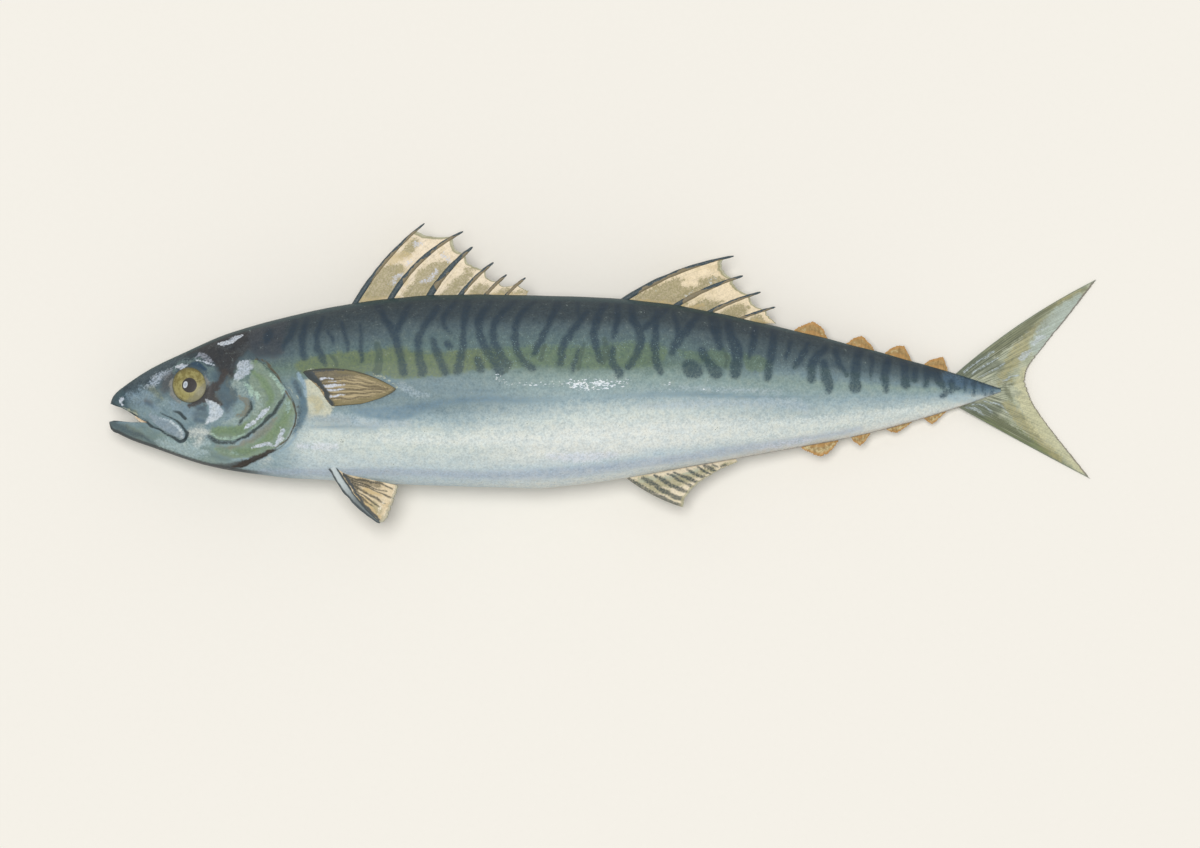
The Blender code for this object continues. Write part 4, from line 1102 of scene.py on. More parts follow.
def makeEyeMaterial():
    paint = Paint("eye")
    gate, mix, field = paint.gate, paint.mix, paint.field
    outward, glint = field("outward"), field("glint")
    grain, patchy = paint.noise(0.6, 4, rough=0.75), paint.noise(1.5, 4)
    uneven = patchy - 0.5
    colour = paint.ramp(uneven * 0.2 + outward, eyeTones["iris"])
    blotch = field("topSide") * 0.12 + (grain * 0.6 + patchy)
    colour = mix(gate(blotch, 0.78, 0.92) * 0.7, colour, eyeTones["blotch"])
    colour = mix(gate(patchy * 0.5 + field("greySide"), 0.6, 0.95) * 0.7, colour, eyeTones["grey"])
    pupil = gate(uneven * 0.06 + outward, eyeTones["pupilShare"] + 0.03, eyeTones["pupilShare"] - 0.02)
    colour = mix(pupil, colour, eyeTones["pupil"])
    pale = mix(gate(glint, 0.4, 0.7), eyeTones["glintEdge"], eyeTones["glint"])
    colour = mix(gate(grain * 0.25 + glint, 0.26, 0.36) * 0.95, colour, pale)
    paint.shade({"Coat Weight": 0.08, "Coat Roughness": 0.15})
    return paint.finish(colour, grain, eyeTones["speckle"], 0.45, 0.15, 0.04, strength=0.3)


def makeEye(side, made):
    # a domed disc set in its socket, following the slope of the skin around it
    cx, cy = eyeCentre
    step = 3.0
    slopeX = float(flankDepth(cx + step, cy) - flankDepth(cx - step, cy)) / (2 * step)
    slopeY = float(flankDepth(cx, cy + step) - flankDepth(cx, cy - step)) / (2 * step)
    rings, spokes = eyeTones["rings"], eyeTones["spokes"]
    r = np.linspace(0.02, 1.06, rings)[:, None]
    a = 2 * math.pi * np.arange(spokes)[None, :] / spokes
    u, v = r * np.cos(a) * eyeRadius, r * np.sin(a) * eyeRadius
    rise = eyeTones["height"] * (1 - r ** 2) + 0.1 - 0.8 * smoothStep(0.99, 1.06, r)
    depth = float(flankDepth(cx, cy)) + slopeX * u + slopeY * v + rise
    z = float(spineHeight(cx)) + side * depth
    faces = gridFaces(rings, spokes, around=True).tolist() + [list(range(spokes))]
    points = toFrame(cx + u.ravel(), cy + v.ravel(), z.ravel())
    eye = newPiece("eye_" + sideName(side), points, faces, [made])
    fixNormals(eye)
    setField(eye, "outward", (r + 0 * a).ravel())
    setField(eye, "topSide", (r * np.sin(a)).ravel())
    setField(eye, "greySide", (r * np.cos(a + 0.75)).ravel())
    (gx, gy), (wide, tall) = eyeTones["glintPlace"], eyeTones["glintSize"]
    away = np.hypot((u - gx - (v - gy) * 0.15) / wide, (v - gy) / tall)
    setField(eye, "glint", np.clip(1 - away, 0, 1).ravel())
    return settle(eye)


# Fins. A spine or ray is (root, tip, bow), and a spiny fin's spines are (root x, tip x, tip y, bow).

firstDorsal = dict(
    light=(246, 230, 202), widths=(2.0, 2.4, 2.7, 2.1, 1.8, 1.7),
    spines=[
        (88.2, 112.0, 59.9, 0.048), (101.3, 125.7, 57.0, 0.08), (114.6, 129.1, 51.5, 0.05),
        (125.5, 136.5, 46.0, 0.04), (134.3, 141.2, 41.7, 0.03), (141.6, 147.9, 40.6, 0.03),
        (148.2, 150.6, 39.4, 0.0),
    ],
)
secondDorsal = dict(
    light=(246, 228, 194), widths=(2.1, 2.2, 2.0, 1.7),
    spines=[
        (185.0, 221.8, 48.3, 0.052), (202.6, 225.1, 41.3, 0.04), (214.4, 231.4, 35.5, 0.03),
        (225.1, 236.6, 30.2, 0.02), (232.6, 240.8, 24.4, 0.0),
    ],
)
rootDepth = 2.4
bareTip = 3.6
membraneDip = 1.8
thinFin = (0.9, 0.3)  # a fin's thickness at its root and at its edge


def rayPoint(ray, v):
    (rx, ry), (tx, ty), bow = ray
    lean = 4 * bow * v * (1 - v)
    return rx + (tx - rx) * v - (ty - ry) * lean, ry + (ty - ry) * v + (tx - rx) * lean


def rootedRay(line, rootX, tip, bow):
    # a ray that starts a little below the skin
    edge = (rootX, float(line(rootX)))
    wayX, wayY = tip[0] - edge[0], tip[1] - edge[1]
    length = math.hypot(wayX, wayY)
    back = rootDepth / max(abs(wayY) / length, 0.4)
    return (edge[0] - wayX / length * back, edge[1] - wayY / length * back), tip, bow


def fanRays(roots, tips, count, bow):
    roots = softCurve(roots, 6) if len(roots) > 2 else np.array(roots)
    tips = softCurve(tips, 6) if len(tips) > 2 else np.array(tips)
    return [(partWay(roots, t), partWay(tips, t), bow * (1 - t)) for t in np.linspace(0, 1, count)]


def finSheet(name, rays, made, each=12, rows=60, bare=0.0, dip=0.0, height=midHeight, thick=thinFin,
             ridges=0, ridgeHeight=0.0, billow=0.0, fray=0.0, seed=1):
    # a fin's skin: two faces a little apart, with rays standing proud of them
    lengths = np.array([math.hypot(t[0] - r[0], t[1] - r[1]) for r, t, _ in rays])
    spans = len(rays) - 1
    columns = each * spans + 1
    u = np.linspace(0, spans, columns)
    first = np.minimum(u.astype(int), spans - 1)
    share = u - first
    v = np.linspace(0, 1, rows)[:, None]
    edges = []
    for k in (0, 1):
        short = bare + dip * 4 * share * (1 - share) * np.where(first == spans - 1, 0.25, 1)
        reach = 1 - short / lengths[first + k]
        reach = reach - fray * np.abs(ripple(u * 9, 0 * u, 3.0, seed)) / lengths[first + k]
        found = [[rayPoint(rays[i + k], s * top) for i, top in zip(first, reach)] for s in v[:, 0]]
        edges.append(np.array(found))
    x, y = np.moveaxis(edges[0] * (1 - share)[:, None] + edges[1] * share[:, None], -1, 0)
    ridge = np.zeros_like(x)
    if ridges:
        wave = np.abs(np.sin(u * math.pi * ridges / spans))
        twice = np.abs(np.sin(u * 2 * math.pi * ridges / spans))
        branch = smoothStep(0.45, 0.75, v)
        ridge = (1 - wave) ** 1.5 * (1 - branch) + (1 - twice) ** 1.5 * branch
    middle = height(x, y) + billow * np.sin(share * math.pi) * np.sin(v * math.pi * 0.8)
    half = (thick[0] + (thick[1] - thick[0]) * v ** 0.7) / 2 + ridgeHeight * ridge * (1 - 0.5 * v)
    border = np.minimum(np.minimum(u[None, :], u[-1] - u[None, :]) * 4, (1 - v) * 12)
    half = half * (0.35 + 0.65 * np.clip(border, 0, 1) ** 0.5)
    upper = toFrame(x, y, np.maximum(middle + half, 0.12)).reshape(-1, 3)
    lower = toFrame(x, y, np.maximum(middle - half, 0.02)).reshape(-1, 3)
    count = rows * columns
    faces = gridFaces(rows, columns)
    rim = np.concatenate([np.arange(columns), np.arange(1, rows) * columns + columns - 1,
                          (rows - 1) * columns + np.arange(columns - 2, -1, -1),
                          np.arange(rows - 2, 0, -1) * columns])
    after = np.roll(rim, -1)
    walls = np.stack([rim, after, after + count, rim + count], -1)
    everything = np.vstack([faces, faces[:, ::-1] + count, walls[:, ::-1]])
    fin = newPiece(name, np.vstack([upper, lower]), everything, [made])
    fixNormals(fin)
    for label, value in (("out", v + 0 * x), ("across", u / spans + 0 * x), ("ridge", ridge)):
        setField(fin, label, np.tile(value.ravel(), 2))
    return fin


def spineTube(name, ray, made, wide, tall, tipShare=0.35, height=midHeight, steps=56, sides=16):
    # a stiff spine: an oval tube that tapers to its tip
    v = np.linspace(0, 1, steps)
    cx, cy = rayPoint(ray, v)
    alongX, alongY = np.gradient(cx), np.gradient(cy)
    length = np.hypot(alongX, alongY)
    a = 2 * math.pi * np.arange(sides)[None, :] / sides
    taper = (1 - (1 - tipShare) * v ** 2.2)[:, None] * np.clip((1.012 - v) / 0.05, 0.15, 1)[:, None] ** 0.5
    wobble = 1 + 0.07 * ripple(v * 40, 0 * v, 5, len(name))[:, None]
    across = wide / 2 * np.cos(a) * taper * wobble
    x = cx[:, None] - (alongY / length)[:, None] * across
    y = cy[:, None] + (alongX / length)[:, None] * across
    z = height(cx, cy)[:, None] + tall / 2 * np.sin(a) * taper
    points = toFrame(x, y, np.maximum(z, 0.05)).reshape(-1, 3)
    spine = newPiece(name, points, tubeFaces(steps, sides), [made])
    fixNormals(spine)
    setField(spine, "out", (v[:, None] + 0 * a).ravel())
    setField(spine, "front", (np.cos(a) + 0 * v[:, None]).ravel())
    return settle(spine)


finTones = dict(
    rim=(150, 148, 112), rimEdge=(196, 196, 172), tan=(212, 194, 152), dark=(66, 80, 86),
    brown=(136, 124, 98), outline=(84, 82, 74), worn=(150, 152, 146), line=(110, 106, 86),
)


def finMaterial(name, light, chosen, tan=finTones["tan"], rim=finTones["rim"], lines=0.0):
    # a fin's skin: its pale ground, the layers painted on it, faint rays, and a line along its rim
    paint = Paint(name)
    gate, mix = paint.gate, paint.mix
    grain, mottle = paint.noise(0.6, 3, rough=0.7), paint.noise(1.7, 4, rough=0.62)
    colour = mix(gate(paint.noise(5, 4), 0.48, 0.68) * 0.55, light, tan)
    colour, _ = layered(paint, colour, chosen, grain, mottle)
    if lines:
        streak = paint.rayNoise(30, 3) * 1.4 + paint.field("ridge")
        colour = mix(gate(streak, 1.0, 1.5) * lines, colour, finTones["line"])
    shaken = (mottle - 0.5) * 0.05 + paint.field("out")
    colour = mix(gate(shaken, 0.95, 0.965) * 0.8, colour, rim)
    colour = mix(gate(shaken, 0.975, 0.99) * 0.7, colour, finTones["rimEdge"])
    return paint.finish(colour, grain, 0.7, 0.55, 0.2, 0.05, mottle, 0.5, glow=0.06)


def spineMaterial():
    # slate in front and brown behind, changing along the spine, with dark edges and a dark root
    paint = Paint("fin_spine")
    gate, mix = paint.gate, paint.mix
    front, out = paint.field("front"), paint.field("out")
    streak, patchy = paint.noise(2.2, 4, rough=0.65) - 0.5, paint.noise(11, 3) - 0.5
    fine = paint.noise(0.6, 3, rough=0.7)
    dark = front + streak * 2.2 + patchy * 5.5 + gate(out, 0.28, 0.16) * 2.0 + gate(out, 0.86, 0.96) * 1.2
    colour = mix(gate(dark, 0.15, 0.45), finTones["brown"], finTones["dark"])
    colour = mix(gate(fine, 0.5, 0.66) * 0.3, colour, finTones["worn"])
    colour = mix(gate(streak * 0.6 + abs(front), 0.78, 0.9) * 0.7, colour, finTones["outline"])
    return paint.finish(colour, fine, 0, 0.5, 0.25, 0.08)


firstDorsalLayers = [
    layer("dorsalOlive", (160, 151, 112), 1.3, 1.2, 0.9, 0.35, [
        ([(356, 303), (364, 288), (374, 274), (384, 266), (394, 263), (403, 266), (404, 274), (400, 284),
         (392, 296), (380, 300)],),
        ([(399, 257), (405, 247), (412, 240), (418, 238), (419, 244), (413, 252), (405, 257)],),
        ([(402, 297), (410, 286), (418, 273), (428, 265), (436, 261), (446, 261), (449, 264), (444, 273),
         (436, 284), (430, 294), (418, 299)],),
        ([(440, 296), (450, 283), (459, 276), (467, 271), (472, 273), (469, 281), (462, 289), (455, 296)],),
        ([(466, 270), (474, 268)], (4, 3)),
        ([(468, 295), (474, 287), (480, 284), (489, 286), (487, 294), (478, 298)],),
        ([(494, 296), (500, 290), (509, 288), (508, 295)],),
        ([(512, 294), (522, 292), (530, 294)], (3, 4, 2))]),
    layer("dorsalTan", (205, 186, 140), 1.2, 0.9, 0.7, 0.3, [
        ([(390, 262), (400, 256), (410, 256)], (6, 8, 5)),
        ([(404, 285), (408, 274), (414, 266)], (4, 6, 4)),
        ([(362, 300), (380, 300), (400, 298)], (4, 4, 3)), ([(424, 298), (440, 297)], (4, 4)),
        ([(470, 296), (530, 295)], (4, 3)), ([(364, 292), (376, 273), (390, 256)], (2, 2, 2))]),
    layer("dorsalSpecks", (212, 214, 222), 0.4, 1.3, 0.85, 0.8, [
        ([(392, 284), (396, 278), (403, 275)], (3, 4, 3)),
        ([(422, 282), (430, 279), (437, 271)], (4, 4, 3)), ([(444, 255), (449, 260)], (5, 4)),
        ([(415, 244), (421, 243)], (4, 3)), ([(406, 267), (409, 263)], (2, 2), 0.8)]),
]
secondDorsalLayers = [
    layer("dorsalOlive", (154, 145, 106), 1.3, 1.2, 0.9, 0.35, [
        ([(626, 302), (640, 292), (652, 287), (664, 283), (674, 278), (684, 279), (681, 286), (690, 287),
         (699, 285), (698, 280), (704, 277), (714, 276), (727, 279), (718, 283), (704, 289), (692, 297),
         (684, 308), (664, 306), (640, 304)],),
        ([(690, 308), (698, 301), (706, 299), (716, 300), (724, 301), (720, 306), (708, 314)],),
        ([(718, 315), (730, 307), (738, 305), (748, 306), (748, 310), (738, 318), (726, 319)],),
        ([(748, 321), (757, 314), (764, 318), (762, 326), (752, 326)],)]),
    layer("dorsalTan", (200, 178, 128), 1.1, 0.9, 0.75, 0.25, [
        ([(628, 300), (646, 302), (668, 304), (690, 308)], (3, 4, 4, 3)),
        ([(692, 307), (704, 306)], (4, 3)), ([(754, 321), (768, 324)], (5, 3))]),
    layer("dorsalSpecks", (214, 218, 214), 0.4, 1.3, 0.8, 0.8, [
        ([(710, 281), (716, 279)], (3, 2)), ([(686, 296), (692, 292)], (2, 2), 0.8)]),
]


def makeSpinyFin(name, fin, chosen, boneMaterial):
    # the last place in the list of spines is the skin's own rear edge, with no spine
    rays = [rootedRay(backLine, rootX, (x, y), bow) for rootX, x, y, bow in fin["spines"]]
    membrane = finMaterial(name, fin["light"], chosen, lines=0.15)
    sheet = finSheet(name + "_skin", rays, membrane, each=24, rows=72, bare=bareTip, dip=membraneDip,
                     thick=(0.9, 0.28), ridges=5 * (len(rays) - 1), ridgeHeight=0.03, billow=0.45,
                     fray=0.25, seed=len(name))
    paintLayers(sheet, chosen)
    settle(sheet)
    for number, (ray, wide) in enumerate(zip(rays, fin["widths"]), start=1):
        spineTube(f"{name}_spine_{number}", ray, boneMaterial, wide, wide * 0.72)


# The tail.

upperRoots, lowerRoots = ((298.0, 4.0), (313.0, 1.0)), ((298.0, -3.2), (313.0, 1.0))
upperTips = [(351.2, 40.2), (342.0, 28.2), (330.2, 13.6), (326.3, 8.0), (325.6, 3.7)]
lowerTips = [(349.0, -30.9), (342.0, -22.1), (335.7, -14.2), (328.8, -4.6), (325.6, 3.7)]
tail = dict(
    rays=9, upperBow=0.034, lowerBow=-0.004, fineRays=56, thick=(1.5, 0.4), ridge=0.05,
    ground=(178, 184, 158), groundLight=(194, 197, 172), line=(86, 92, 76), pale=(206, 208, 184),
    rim=(126, 116, 108), edge=(124, 134, 122),
)

tailLayers = [
    layer("tailLead", (138, 142, 112), 2.2, 0.9, 0.9, 0, [
        ([(958, 374), (985, 353), (1012, 334), (1040, 315), (1064, 299),
         (1086, 289)], (16, 18, 16, 12, 9, 6)),
        ([(958, 406), (985, 422), (1012, 436), (1040, 449), (1064, 463),
         (1078, 474)], (12, 18, 16, 12, 8, 5))]),
    layer("tailOchre", (172, 164, 116), 1.7, 1.0, 0.75, 0.3, [
        ([(1004, 374), (1022, 350), (1040, 328), (1056, 314)], (10, 16, 12, 4)),
        ([(1046, 308), (1062, 299), (1080, 290)], (4, 6, 5)),
        ([(1008, 405), (1026, 424), (1044, 444), (1062, 460)], (8, 12, 10, 5)),
        ([(1000, 383), (1012, 380)], (3, 4))]),
    layer("tailMoss", (118, 130, 86), 1.8, 1.2, 0.75, 0.4, [
        ([(976, 413), (1000, 425), (1024, 439), (1048, 453)], (9, 13, 11, 4))]),
    layer("tailDark", (114, 117, 92), 1.1, 0.9, 0.75, 0.35, [
        ([(994, 356), (1020, 335), (1040, 315), (1056, 304)], (4, 6, 6, 2)),
        ([(1006, 383), (1008, 392), (1012, 400)], (5, 6, 4), 0.5), ([(1010, 385), (1024, 380)], (3, 2)),
        ([(986, 411), (1006, 425), (1030, 441)], (5, 7, 4))]),
    layer("tailSea", (180, 194, 186), 2.2, 1.0, 0.8, 0.2, [
        ([(1037, 347), (1050, 329), (1066, 312), (1080, 297)], (14, 20, 16, 7)),
        ([(1048, 421), (1064, 442), (1080, 462)], (8, 9, 7))]),
    layer("tailCream", (212, 208, 168), 2.2, 1.0, 0.8, 0.2, [
        ([(1024, 398), (1034, 413), (1046, 430), (1062, 448), (1082, 470)], (12, 17, 16, 11, 7)),
        ([(1026, 372), (1022, 384), (1026, 394)], (8, 10, 8))]),
    layer("tailBase", (120, 128, 110), 2.4, 0.9, 0.85, 0, [
        ([(960, 374), (980, 364), (1000, 366)], (14, 22, 10)),
        ([(964, 405), (984, 410), (1000, 408)], (12, 16, 8))]),
    layer("tailShine", (196, 205, 206), 0.7, 0.6, 0.9, 0.3, [
        ([(1019, 358), (1024, 352), (1032, 350), (1030, 356), (1024, 361)],),
        ([(1035, 344), (1041, 338), (1048, 336)], (3, 5, 2)), ([(1038, 332), (1050, 325)], (2, 2), 0.7)]),
    # thin pale streaks near the tail's root
    layer("tailPaleStreaks", (190, 202, 206), 0.5, 0.35, 0.85, 0.45, [
        ([(965, 372), (980, 361), (995, 351)], (1, 1.8, 1)),
        ([(972, 374), (985, 366), (1000, 358)], (1, 2, 0.8)),
        ([(980, 377), (992, 371), (1006, 363)], (1, 1.4, 0.8)),
        ([(1004, 381), (1012, 377), (1019, 375)], (1.6, 2, 1)),
        ([(966, 407), (976, 409), (986, 416)], (1.6, 2.4, 1)),
        ([(974, 404), (985, 406), (994, 413)], (1, 2, 1)),
        ([(986, 401), (999, 404), (1010, 413)], (1, 1.6, 0.8))]),
]


def makeTailMaterial():
    paint = Paint("tail_fin")
    gate, mix = paint.gate, paint.mix
    out, across, ridge = (paint.field(name) for name in ("out", "across", "ridge"))
    grain, mottle = paint.noise(0.6, 3, rough=0.7), paint.noise(1.8, 4, rough=0.62)
    uneven = mottle - 0.5
    colour = mix(gate(paint.noise(6, 4), 0.4, 0.6), tail["ground"], tail["groundLight"])
    colour, _ = layered(paint, colour, tailLayers, grain, mottle)
    base = gate(uneven * 0.7 + out, 0.85, 0.3)  # more lines near the root
    line = gate(ridge * 0.14 + paint.rayNoise(110, 2.2, detail=4), 0.51, 0.6)
    colour = mix(line * (base * 0.5 + 0.2), colour, tail["line"])
    pale = gate(paint.rayNoise(90, 1.6, start=4.0, detail=4), 0.6, 0.68)
    colour = mix(pale * (base * 0.3 + 0.2), colour, tail["pale"])
    colour = mix(gate(uneven * 0.03 + out, 0.972, 0.985) * 0.75, colour, tail["rim"])
    edge = uneven * 0.02 + abs(across - 0.5)
    colour = mix(gate(edge, 0.486, 0.496) * 0.6, colour, tail["edge"])
    under = paint.bump(ridge, 0.4, 0.08)
    return paint.finish(colour, grain, 0.7, 0.5, 0.2, 0.06, mottle, 0.3, under, glow=0.05)


def makeTail():
    upper = fanRays(upperRoots, upperTips, tail["rays"], tail["upperBow"])
    lower = fanRays(lowerRoots, lowerTips, tail["rays"], tail["lowerBow"])
    fin = finSheet("tail_fin", upper + lower[-2::-1], makeTailMaterial(), each=30, rows=84,
                   thick=tail["thick"], ridges=tail["fineRays"], ridgeHeight=tail["ridge"], fray=0.3, seed=8)
    paintLayers(fin, tailLayers)
    return settle(fin)


# The remaining fins.

anal = dict(roots=(184.8, 222.5), rays=10, bow=-0.055)
analTips = [
    (683.5, 507.5), (684.5, 500), (689, 493), (694, 487), (700, 482), (706, 478), (712, 474.5), (718, 470.5),
    (727, 466.5), (738, 462),
]
analLayers = [
    layer("analOlive", (160, 157, 120), 1.4, 1.1, 0.85, 0.3, [
        ([(634, 482), (652, 482), (672, 482), (690, 476), (712, 469)], (5, 11, 12, 10, 6)),
        ([(652, 488), (668, 493)], (9, 7), 0.9), ([(722, 466), (735, 463)], (5, 3))]),
    layer("analGreen", (190, 196, 176), 1.0, 0.7, 0.7, 0.3, [
        ([(640, 481), (656, 478)], (3, 3)), ([(662, 479), (676, 476)], (4, 4)),
        ([(684, 474), (698, 470)], (3, 3))]),
    layer("analRays", (70, 80, 80), 0.7, 0.32, 0.9, 0.3, [
        ([(629, 479), (640, 486.5), (652, 493.5), (664, 499.5), (674, 503.5),
         (683, 507)], (3, 5.4, 5.4, 5.4, 5, 2.4)),
        ([(643, 478.5), (654, 484.5), (662, 490), (672, 495.5), (684.5, 500.5)], (2.4, 4.4, 4, 4, 3.2)),
        ([(655, 475.5), (664, 480.5), (674, 486.5), (682, 490), (690, 493)], (2.4, 4, 4.4, 4, 2.8)),
        ([(667, 473.5), (676, 478), (684, 482.5), (693.5, 487.5)], (2.2, 3.6, 2.4, 2.6)),
        ([(674, 472.5), (684, 476.5), (691, 480), (699, 482)], (2, 3.4, 3.6, 3.2)),
        ([(687, 469), (694, 473), (700, 476), (706, 478)], (2, 3.2, 3, 2.4)),
        ([(697, 467), (705, 471.5), (711, 474.5)], (2.4, 3, 2.6)),
        ([(705, 465.5), (712, 469), (716, 471)], (2.4, 3, 2)), ([(712, 464.5), (718, 467)], (2.2, 2)),
        ([(722, 466.5), (725.5, 466)], (2.6, 2.4))]),
    layer("analGrey", (112, 114, 104), 0.7, 0.6, 0.8, 0.5, [
        ([(654, 495), (666, 500), (676, 504)], (3, 3.6, 2)), ([(668, 493.5), (680, 498.5)], (2, 2)),
        ([(640, 484), (648, 489)], (1.6, 1.6))]),
]


def makeAnalFin():
    tips = softCurve(seen(*analTips), 4)
    front, rear = anal["roots"]
    rays = []
    for share in np.linspace(0, 1, anal["rays"]):
        bow = anal["bow"] * (1 - share) ** 2
        rays.append(rootedRay(bellyLine, front + (rear - front) * share, partWay(tips, share), bow))
    made = finMaterial("anal_fin", (240, 226, 198), analLayers, tan=(214, 204, 166), rim=(180, 174, 140))
    fin = finSheet("anal_fin", rays, made, each=20, rows=48, ridges=anal["rays"] - 1, ridgeHeight=0.1,
                   fray=0.2, seed=4)
    paintLayers(fin, analLayers)
    return settle(fin)


pelvicLayers = [
    layer("pelvicGold", (206, 180, 128), 1.3, 0.8, 0.8, 0.25, [
        ([(356, 496), (368, 508), (378, 516)], (8, 10, 6)), ([(366, 490), (380, 495)], (6, 5), 0.9)]),
    layer("pelvicDark", (122, 112, 90), 1.2, 0.8, 0.85, 0.25, [
        ([(346, 476), (352, 482), (358, 488)], (5, 9, 6)),
        ([(354, 479), (368, 483), (380, 486)], (5, 6, 3))]),
    layer("pelvicOlive", (168, 160, 122), 1.0, 0.8, 0.75, 0.3, [
        ([(374, 504), (379, 511)], (7, 8)), ([(384, 517), (381, 521)], (4, 3))]),
    layer("pelvicRays", (84, 82, 72), 0.5, 0.2, 0.9, 0.2, [
        ([(344, 475), (356, 479), (368, 481), (380, 483.5), (393, 489)], (2.4, 2.4, 2, 2, 1.6)),
        ([(352, 480.5), (364, 484), (376, 488.5), (386, 491)], (2.2, 1.8, 1.8, 1)),
        ([(353, 483), (366, 487), (380, 492.5), (393, 498.5)], (2.2, 2, 1.8, 1.8)),
        ([(352, 484.5), (364, 491), (376, 498.5), (385, 503)], (2.2, 1.8, 1.8, 1)),
        ([(352, 487.5), (362, 494), (374, 502.5), (381, 507)], (2, 2, 1.8, 1)),
        ([(353, 491), (362, 498), (373, 506.5)], (1.8, 1.8, 1))]),
    layer("pelvicEdge", (80, 86, 88), 0.5, 0.3, 0.95, 0, [
        ([(344, 474), (351, 484), (359, 497), (369, 510), (382, 523)], (3, 3, 2.6, 2.4, 2))]),
    layer("pelvicPale", (240, 230, 208), 0.7, 0.7, 0.85, 0.4, [
        ([(398, 485), (394, 498), (390, 508), (384, 520)], (4, 4, 4, 2)),
        ([(384, 500), (378, 514)], (2, 2), 0.8)]),
]
pelvic = dict(
    roots=((79.6, -26.6), (85.2, -29.4)), tips=[(96.2, -46.4), (98.6, -45.2), (101.2, -38.4), (102.8, -33.2)],
    bow=-0.06, wide=3.2, tall=2.0, tipShare=0.32,
    # the spine's pale is a painted highlight along its middle
    pale=(196, 206, 206), grey=(122, 130, 130), outline=(84, 92, 94),
)


def makePelvicFin(side, made, boneMaterial):
    def leaning(x, y):
        return spineHeight(x) + side * (10.3 + 0.2 * (y + 27.6) - 2.0 * smoothStep(80, 86, x))

    name = "pelvic_fin_" + sideName(side)
    rays = fanRays(pelvic["roots"], pelvic["tips"], 6, pelvic["bow"])
    fin = finSheet(name, rays, made, each=18, rows=60, height=leaning, ridges=8, ridgeHeight=0.06, fray=0.3,
                   seed=6)
    paintLayers(fin, pelvicLayers)
    settle(fin)
    spineTube(name + "_spine", rays[0], boneMaterial, pelvic["wide"], pelvic["tall"], pelvic["tipShare"],
              height=leaning)


def makePelvicSpineMaterial():
    paint = Paint("pelvic_spine")
    gate, mix = paint.gate, paint.mix
    streak, fine, out = paint.noise(2, 4), paint.noise(0.6, 3, rough=0.7), paint.field("out")
    edge = (streak - 0.5) * 0.5 + abs(paint.field("front")) + gate(out, 0.4, 0.85) * 0.45
    # a painted highlight: pale along the spine's middle near its root, grey further out
    middle = mix(gate(out, 0.22, 0.6), pelvic["pale"], pelvic["grey"])
    colour = mix(gate(edge, 0.42, 0.75), middle, pelvic["outline"])
    return paint.finish(colour, fine, 0.4, 0.5, 0.2, 0.06)


pectoralLayers = [
    layer("pectoralShade", (98, 93, 78), 2.4, 1.2, 0.9, 0.2, [
        ([(304, 372), (312, 369), (330, 368), (352, 370), (368, 374), (352, 377), (334, 380), (322, 384),
         (314, 380)],)]),
    layer("pectoralOlive", (126, 116, 82), 1.1, 0.7, 0.85, 0.2, [
        ([(334, 404), (350, 403.5), (370, 400), (386, 395), (396, 391)], (6, 6, 6, 5, 3)),
        ([(340, 371), (362, 373.5), (380, 380), (396, 389)], (5, 6, 6, 4))]),
    layer("pectoralRays", (92, 82, 62), 0.55, 0.15, 0.85, 0.3, [
        ([(322, 379.5), (345, 379.5), (366, 382.5), (384, 386)], (2.4, 1.8, 1.4, 0.8)),
        ([(325, 384), (350, 384), (372, 386.5), (390, 388.5)], (2.4, 2, 1.6, 1)),
        ([(327, 389), (350, 389.4), (374, 389), (392, 389.5)], (2.6, 2.2, 1.8, 1)),
        ([(330, 393.5), (352, 393.8), (374, 392.5), (388, 391)], (2.4, 1.8, 1.4, 0.8)),
        ([(333, 398.5), (352, 398.5), (372, 396)], (2.4, 1.8, 1))]),
    layer("pectoralStreaks", (202, 208, 218), 0.45, 0.3, 0.95, 0.35, [
        ([(322, 379), (334, 378)], (2.4, 0.6)), ([(325, 386.2), (336, 386), (346, 385.2)], (3, 2, 0.6)),
        ([(328.5, 390), (346, 389)], (2.6, 0.6)), ([(331.5, 396.6), (346, 394.6)], (2.4, 0.6)),
        ([(330, 382), (343, 380.4)], (2, 0.6), 0.8)]),
    layer("pectoralBase", (68, 76, 80), 0.7, 0.45, 0.95, 0, [
        ([(305, 372), (310, 375.5), (316, 380), (321, 385.5), (325.5, 392), (329, 399),
         (332.5, 405)], (7, 9, 8, 7, 6, 5.4, 4)),
        ([(312, 370), (326, 369.6), (344, 370)], (4, 4, 1.6), 0.9)]),
    layer("pectoralRim", (196, 170, 128), 0.4, 0.5, 0.7, 0.4, [
        ([(307, 377.5), (314, 383), (320, 388.5), (324.5, 395.5), (328.5, 402)], (0.8, 1, 1.2, 1, 0.8))]),
]

pectoralRoots = [
    (303, 371.5), (308.5, 378), (314.5, 383.2), (320, 388.5), (324.5, 395.5), (328.5, 402), (333, 406.5),
]
pectoralTips = [(397, 389), (394, 392), (388, 395.5), (378, 399.5), (362, 404)]
pectoral = dict(
    bow=0.105, rise=0.35, tipRise=0.5, sink=1.1, sinkWidth=1.2, ground=(147, 134, 101),
    groundLight=(189, 172, 133), front=(78, 80, 72), rear=(96, 92, 74), tip=(92, 90, 76),
)


def makePectoralFin(side, made):
    rootLine = seen(*pectoralRoots)

    def onFlank(x, y):
        # the root's edge goes into the skin, and the fin rises a little towards its tips
        fromRoot = strokeGap(x.ravel(), y.ravel(), rootLine).reshape(x.shape)
        rise = pectoral["rise"] + pectoral["tipRise"] * smoothStep(68.9, 101.9, x)
        rise = rise - pectoral["sink"] * hump(fromRoot, pectoral["sinkWidth"])
        return spineHeight(x) + side * (flankDepth(x, y) + rise)

    rays = fanRays(rootLine, seen(*pectoralTips), 7, pectoral["bow"])
    fin = finSheet("pectoral_fin_" + sideName(side), rays, made, each=24, rows=72, height=onFlank,
                   thick=(1.5, 0.5), ridges=10, ridgeHeight=0.05, fray=0.12, seed=7)
    paintLayers(fin, pectoralLayers)
    return settle(fin)


